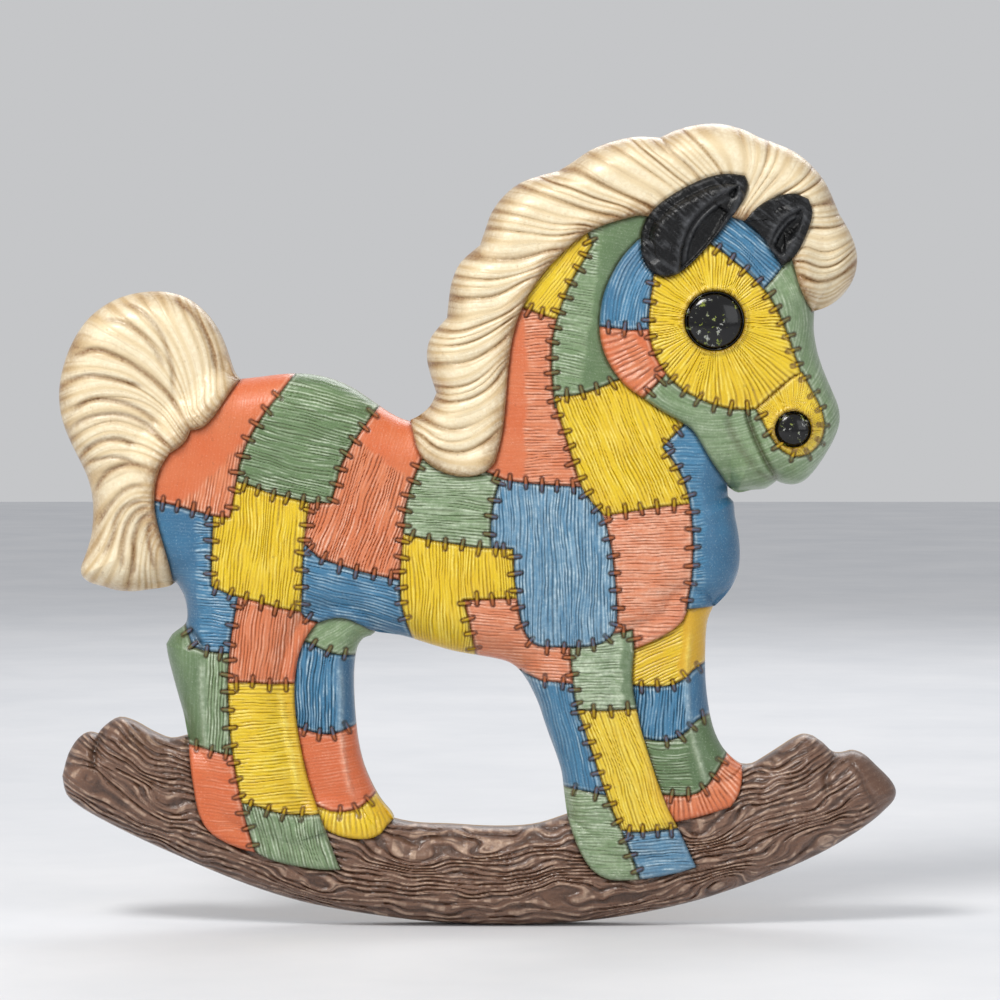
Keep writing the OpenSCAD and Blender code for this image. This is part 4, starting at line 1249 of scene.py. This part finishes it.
def stitch_mesh(group):
    """All the raised stitches of one group, as small rounded bars that follow the surface."""
    verts, polygons, colours, lifts = [], [], [], []
    at = np.linspace(-1, 1, STITCH_RINGS)
    for middle, way, half in [s[1:] for s in stitches if s[0] == group]:
        across = np.array([-way[1], way[0]])
        line = middle + np.outer(at * half, way)
        seated = base_height(group, line)[0]
        seated = np.minimum(0.5 * (seated.min() + seated), TOP - 1.2)
        owner = label_at(line)
        start = len(verts)
        for k in range(STITCH_RINGS):
            fat = math.sqrt(max(0.0, 1 - abs(at[k]) ** 5)) if abs(at[k]) < 1 else 0.12
            patch = PATCHES.get(NAMES[owner[k]])
            colour = PAINTS[patch[1]][0] if patch else STRAY
            for j in range(STITCH_SIDES):
                a = 2 * math.pi * j / STITCH_SIDES
                p = line[k] + across * (STITCH_WIDTH / 2 * fat * math.cos(a))
                up = STITCH_RISE * fat * math.sin(a)
                verts.append(to_row(p[None, :], [seated[k] - STITCH_SINK + up])[0])
                colours.append(colour)
                lifts.append(max(0.0, math.sin(a)) ** 2 * fat)
        for k in range(STITCH_RINGS - 1):
            for j in range(STITCH_SIDES):
                n = (j + 1) % STITCH_SIDES
                a, b = start + k * STITCH_SIDES, start + (k + 1) * STITCH_SIDES
                polygons.append((a + n, b + n, b + j, a + j))
        last = start + (STITCH_RINGS - 1) * STITCH_SIDES
        polygons.append(tuple(start + j for j in reversed(range(STITCH_SIDES))))
        polygons.append(tuple(last + j for j in range(STITCH_SIDES)))
    mesh = smooth_mesh("stitches_" + group, [tuple(v) for v in verts], polygons)
    add_attribute(mesh, "patch_colour", colours, "FLOAT_COLOR", "color")
    add_attribute(mesh, "lift", lifts)
    return new_object("stitches_" + group, mesh)


thread = stitch_paint()
for group in STITCHED:
    finish_piece(stitch_mesh(group), thread)

# A button's profile. Levels are shares of its height, and places are shares of its radius.
BUTTON_TURNS = 96
RIM_LEVEL = 0.52
ROLL = 0.035  # radius of the rim's rounded edge
DISH_PLACE = 0.935  # where the rim ends, a little higher
DISH_RISE = 0.02
DOME_PLACE = 0.915  # where the dome starts inside it
DOME_RADIUS = 0.94


def button(node, name):
    """A turned, domed button with a rolled rim, in place of its plain CAD node."""
    low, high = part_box(node)
    centre = (low + high) / 2
    radius = (high.x - low.x) / 2
    seat, top = high.y, low.y
    rim_height = seat + (top - seat) * RIM_LEVEL
    profile = [(0.0, seat), (radius, seat), (radius, rim_height)]
    roll = ROLL * radius
    for a in np.linspace(0, math.pi / 2, 6)[1:]:
        profile.append((radius - roll * (1 - math.cos(a)), rim_height - roll * math.sin(a)))
    profile.append((DISH_PLACE * radius, rim_height + DISH_RISE * radius))
    for t in np.linspace(DOME_PLACE, 0.0, 16):
        round_up = math.sqrt(1 - (t / DOME_RADIUS) ** 2)
        profile.append((t * radius, rim_height + (top - rim_height) * round_up))
    turns = BUTTON_TURNS
    verts, polygons = [], []
    for r, y in profile[1:-1]:
        for k in range(turns):
            a = 2 * math.pi * k / turns
            verts.append((centre.x + r * math.cos(a), y, centre.z + r * math.sin(a)))
    rows = len(profile) - 2
    for j in range(rows - 1):
        for k in range(turns):
            n = (k + 1) % turns
            polygons.append((j * turns + k, j * turns + n, (j + 1) * turns + n, (j + 1) * turns + k))
    verts += [(centre.x, seat, centre.z), (centre.x, top, centre.z)]
    for k in range(turns):
        n = (k + 1) % turns
        polygons.append((n, k, len(verts) - 2))
        polygons.append(((rows - 1) * turns + k, (rows - 1) * turns + n, len(verts) - 1))
    return new_object(name, smooth_mesh(name, verts, polygons, sharp=50))


black = gloss_black()
for node in ("eye", "nostril"):
    finish_piece(button(node, node + "_button"), black, node)

# The CAD nodes that are shown as they are
for node, material in (("back_plate", bare_casting()),
                       ("hanger_plate", plated_steel("hanger_steel", 800.0)),
                       ("hanger_screws", plated_steel("screw_steel", 1500.0))):
    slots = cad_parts[node].data.materials
    slots.clear()
    slots.append(material)

# ---------------------------------------------------------------- stage, camera and light


def paper():
    """Plain pale paper."""
    n = Nodes("paper")
    colour = n.mix(n.patchy(6.0, 0.3, 0.7), srgb(226, 227, 230), srgb(216, 218, 222))
    return n.surface(Base_Color=colour, Roughness=0.85)


FLOOR_REACH = 6.0
FLOOR_CORNERS = ((-1, -1), (1, -1), (1, 1), (-1, 1))
floor_mesh = bpy.data.meshes.new("floor")
floor_mesh.from_pydata([(FLOOR_REACH * x, FLOOR_REACH * y, cad_low.z) for x, y in FLOOR_CORNERS],
                       [], [(0, 1, 2, 3)])
floor_obj = new_object("floor", floor_mesh)
floor_mesh.materials.append(paper())


def aim(obj, place, target):
    obj.location = place
    obj.rotation_euler = (Vector(target) - Vector(place)).to_track_quat("-Z", "Y").to_euler()


CAMERA_DISTANCE = 1.9
VIEW_WIDTH = 0.5  # metres across the view at the plaque
VIEW_MIDDLE = np.array([[0.0, 214.0]])  # the sheet point at the middle of the view
CAMERA_ELEVATION = math.radians(2.0)
SENSOR_WIDTH = 36.0
target = Vector(to_row(VIEW_MIDDLE, [15.0])[0])
camera = bpy.data.cameras.new("camera")
camera.sensor_width = SENSOR_WIDTH
camera.lens = SENSOR_WIDTH * CAMERA_DISTANCE / VIEW_WIDTH
camera_obj = new_object("camera", camera)
away = Vector((0, -math.cos(CAMERA_ELEVATION), math.sin(CAMERA_ELEVATION))) * CAMERA_DISTANCE
aim(camera_obj, target + away, target)
bpy.context.scene.camera = camera_obj


def area_light(name, place, size, watts, colour=(1, 1, 1)):
    light = bpy.data.lights.new(name, "AREA")
    light.shape = "RECTANGLE"
    light.size, light.size_y = size
    light.energy = watts
    light.color = colour
    aim(new_object(name, light), target + Vector(place), target)


area_light("key", (-0.75, -1.0, 1.35), (0.6, 0.5), 24, (1.0, 0.98, 0.95))
area_light("fill", (1.2, -1.5, 0.5), (1.2, 1.0), 5, (0.96, 0.98, 1.0))
area_light("back", (0.4, 1.6, 1.2), (1.4, 1.0), 12)

world = bpy.data.worlds.new("world")
bpy.context.scene.world = world
world.use_nodes = True
sky = world.node_tree.nodes["Background"].inputs
sky["Color"].default_value = (0.9, 0.91, 0.93, 1)
sky["Strength"].default_value = 0.62
bpy.context.scene.view_settings.view_transform = "Standard"
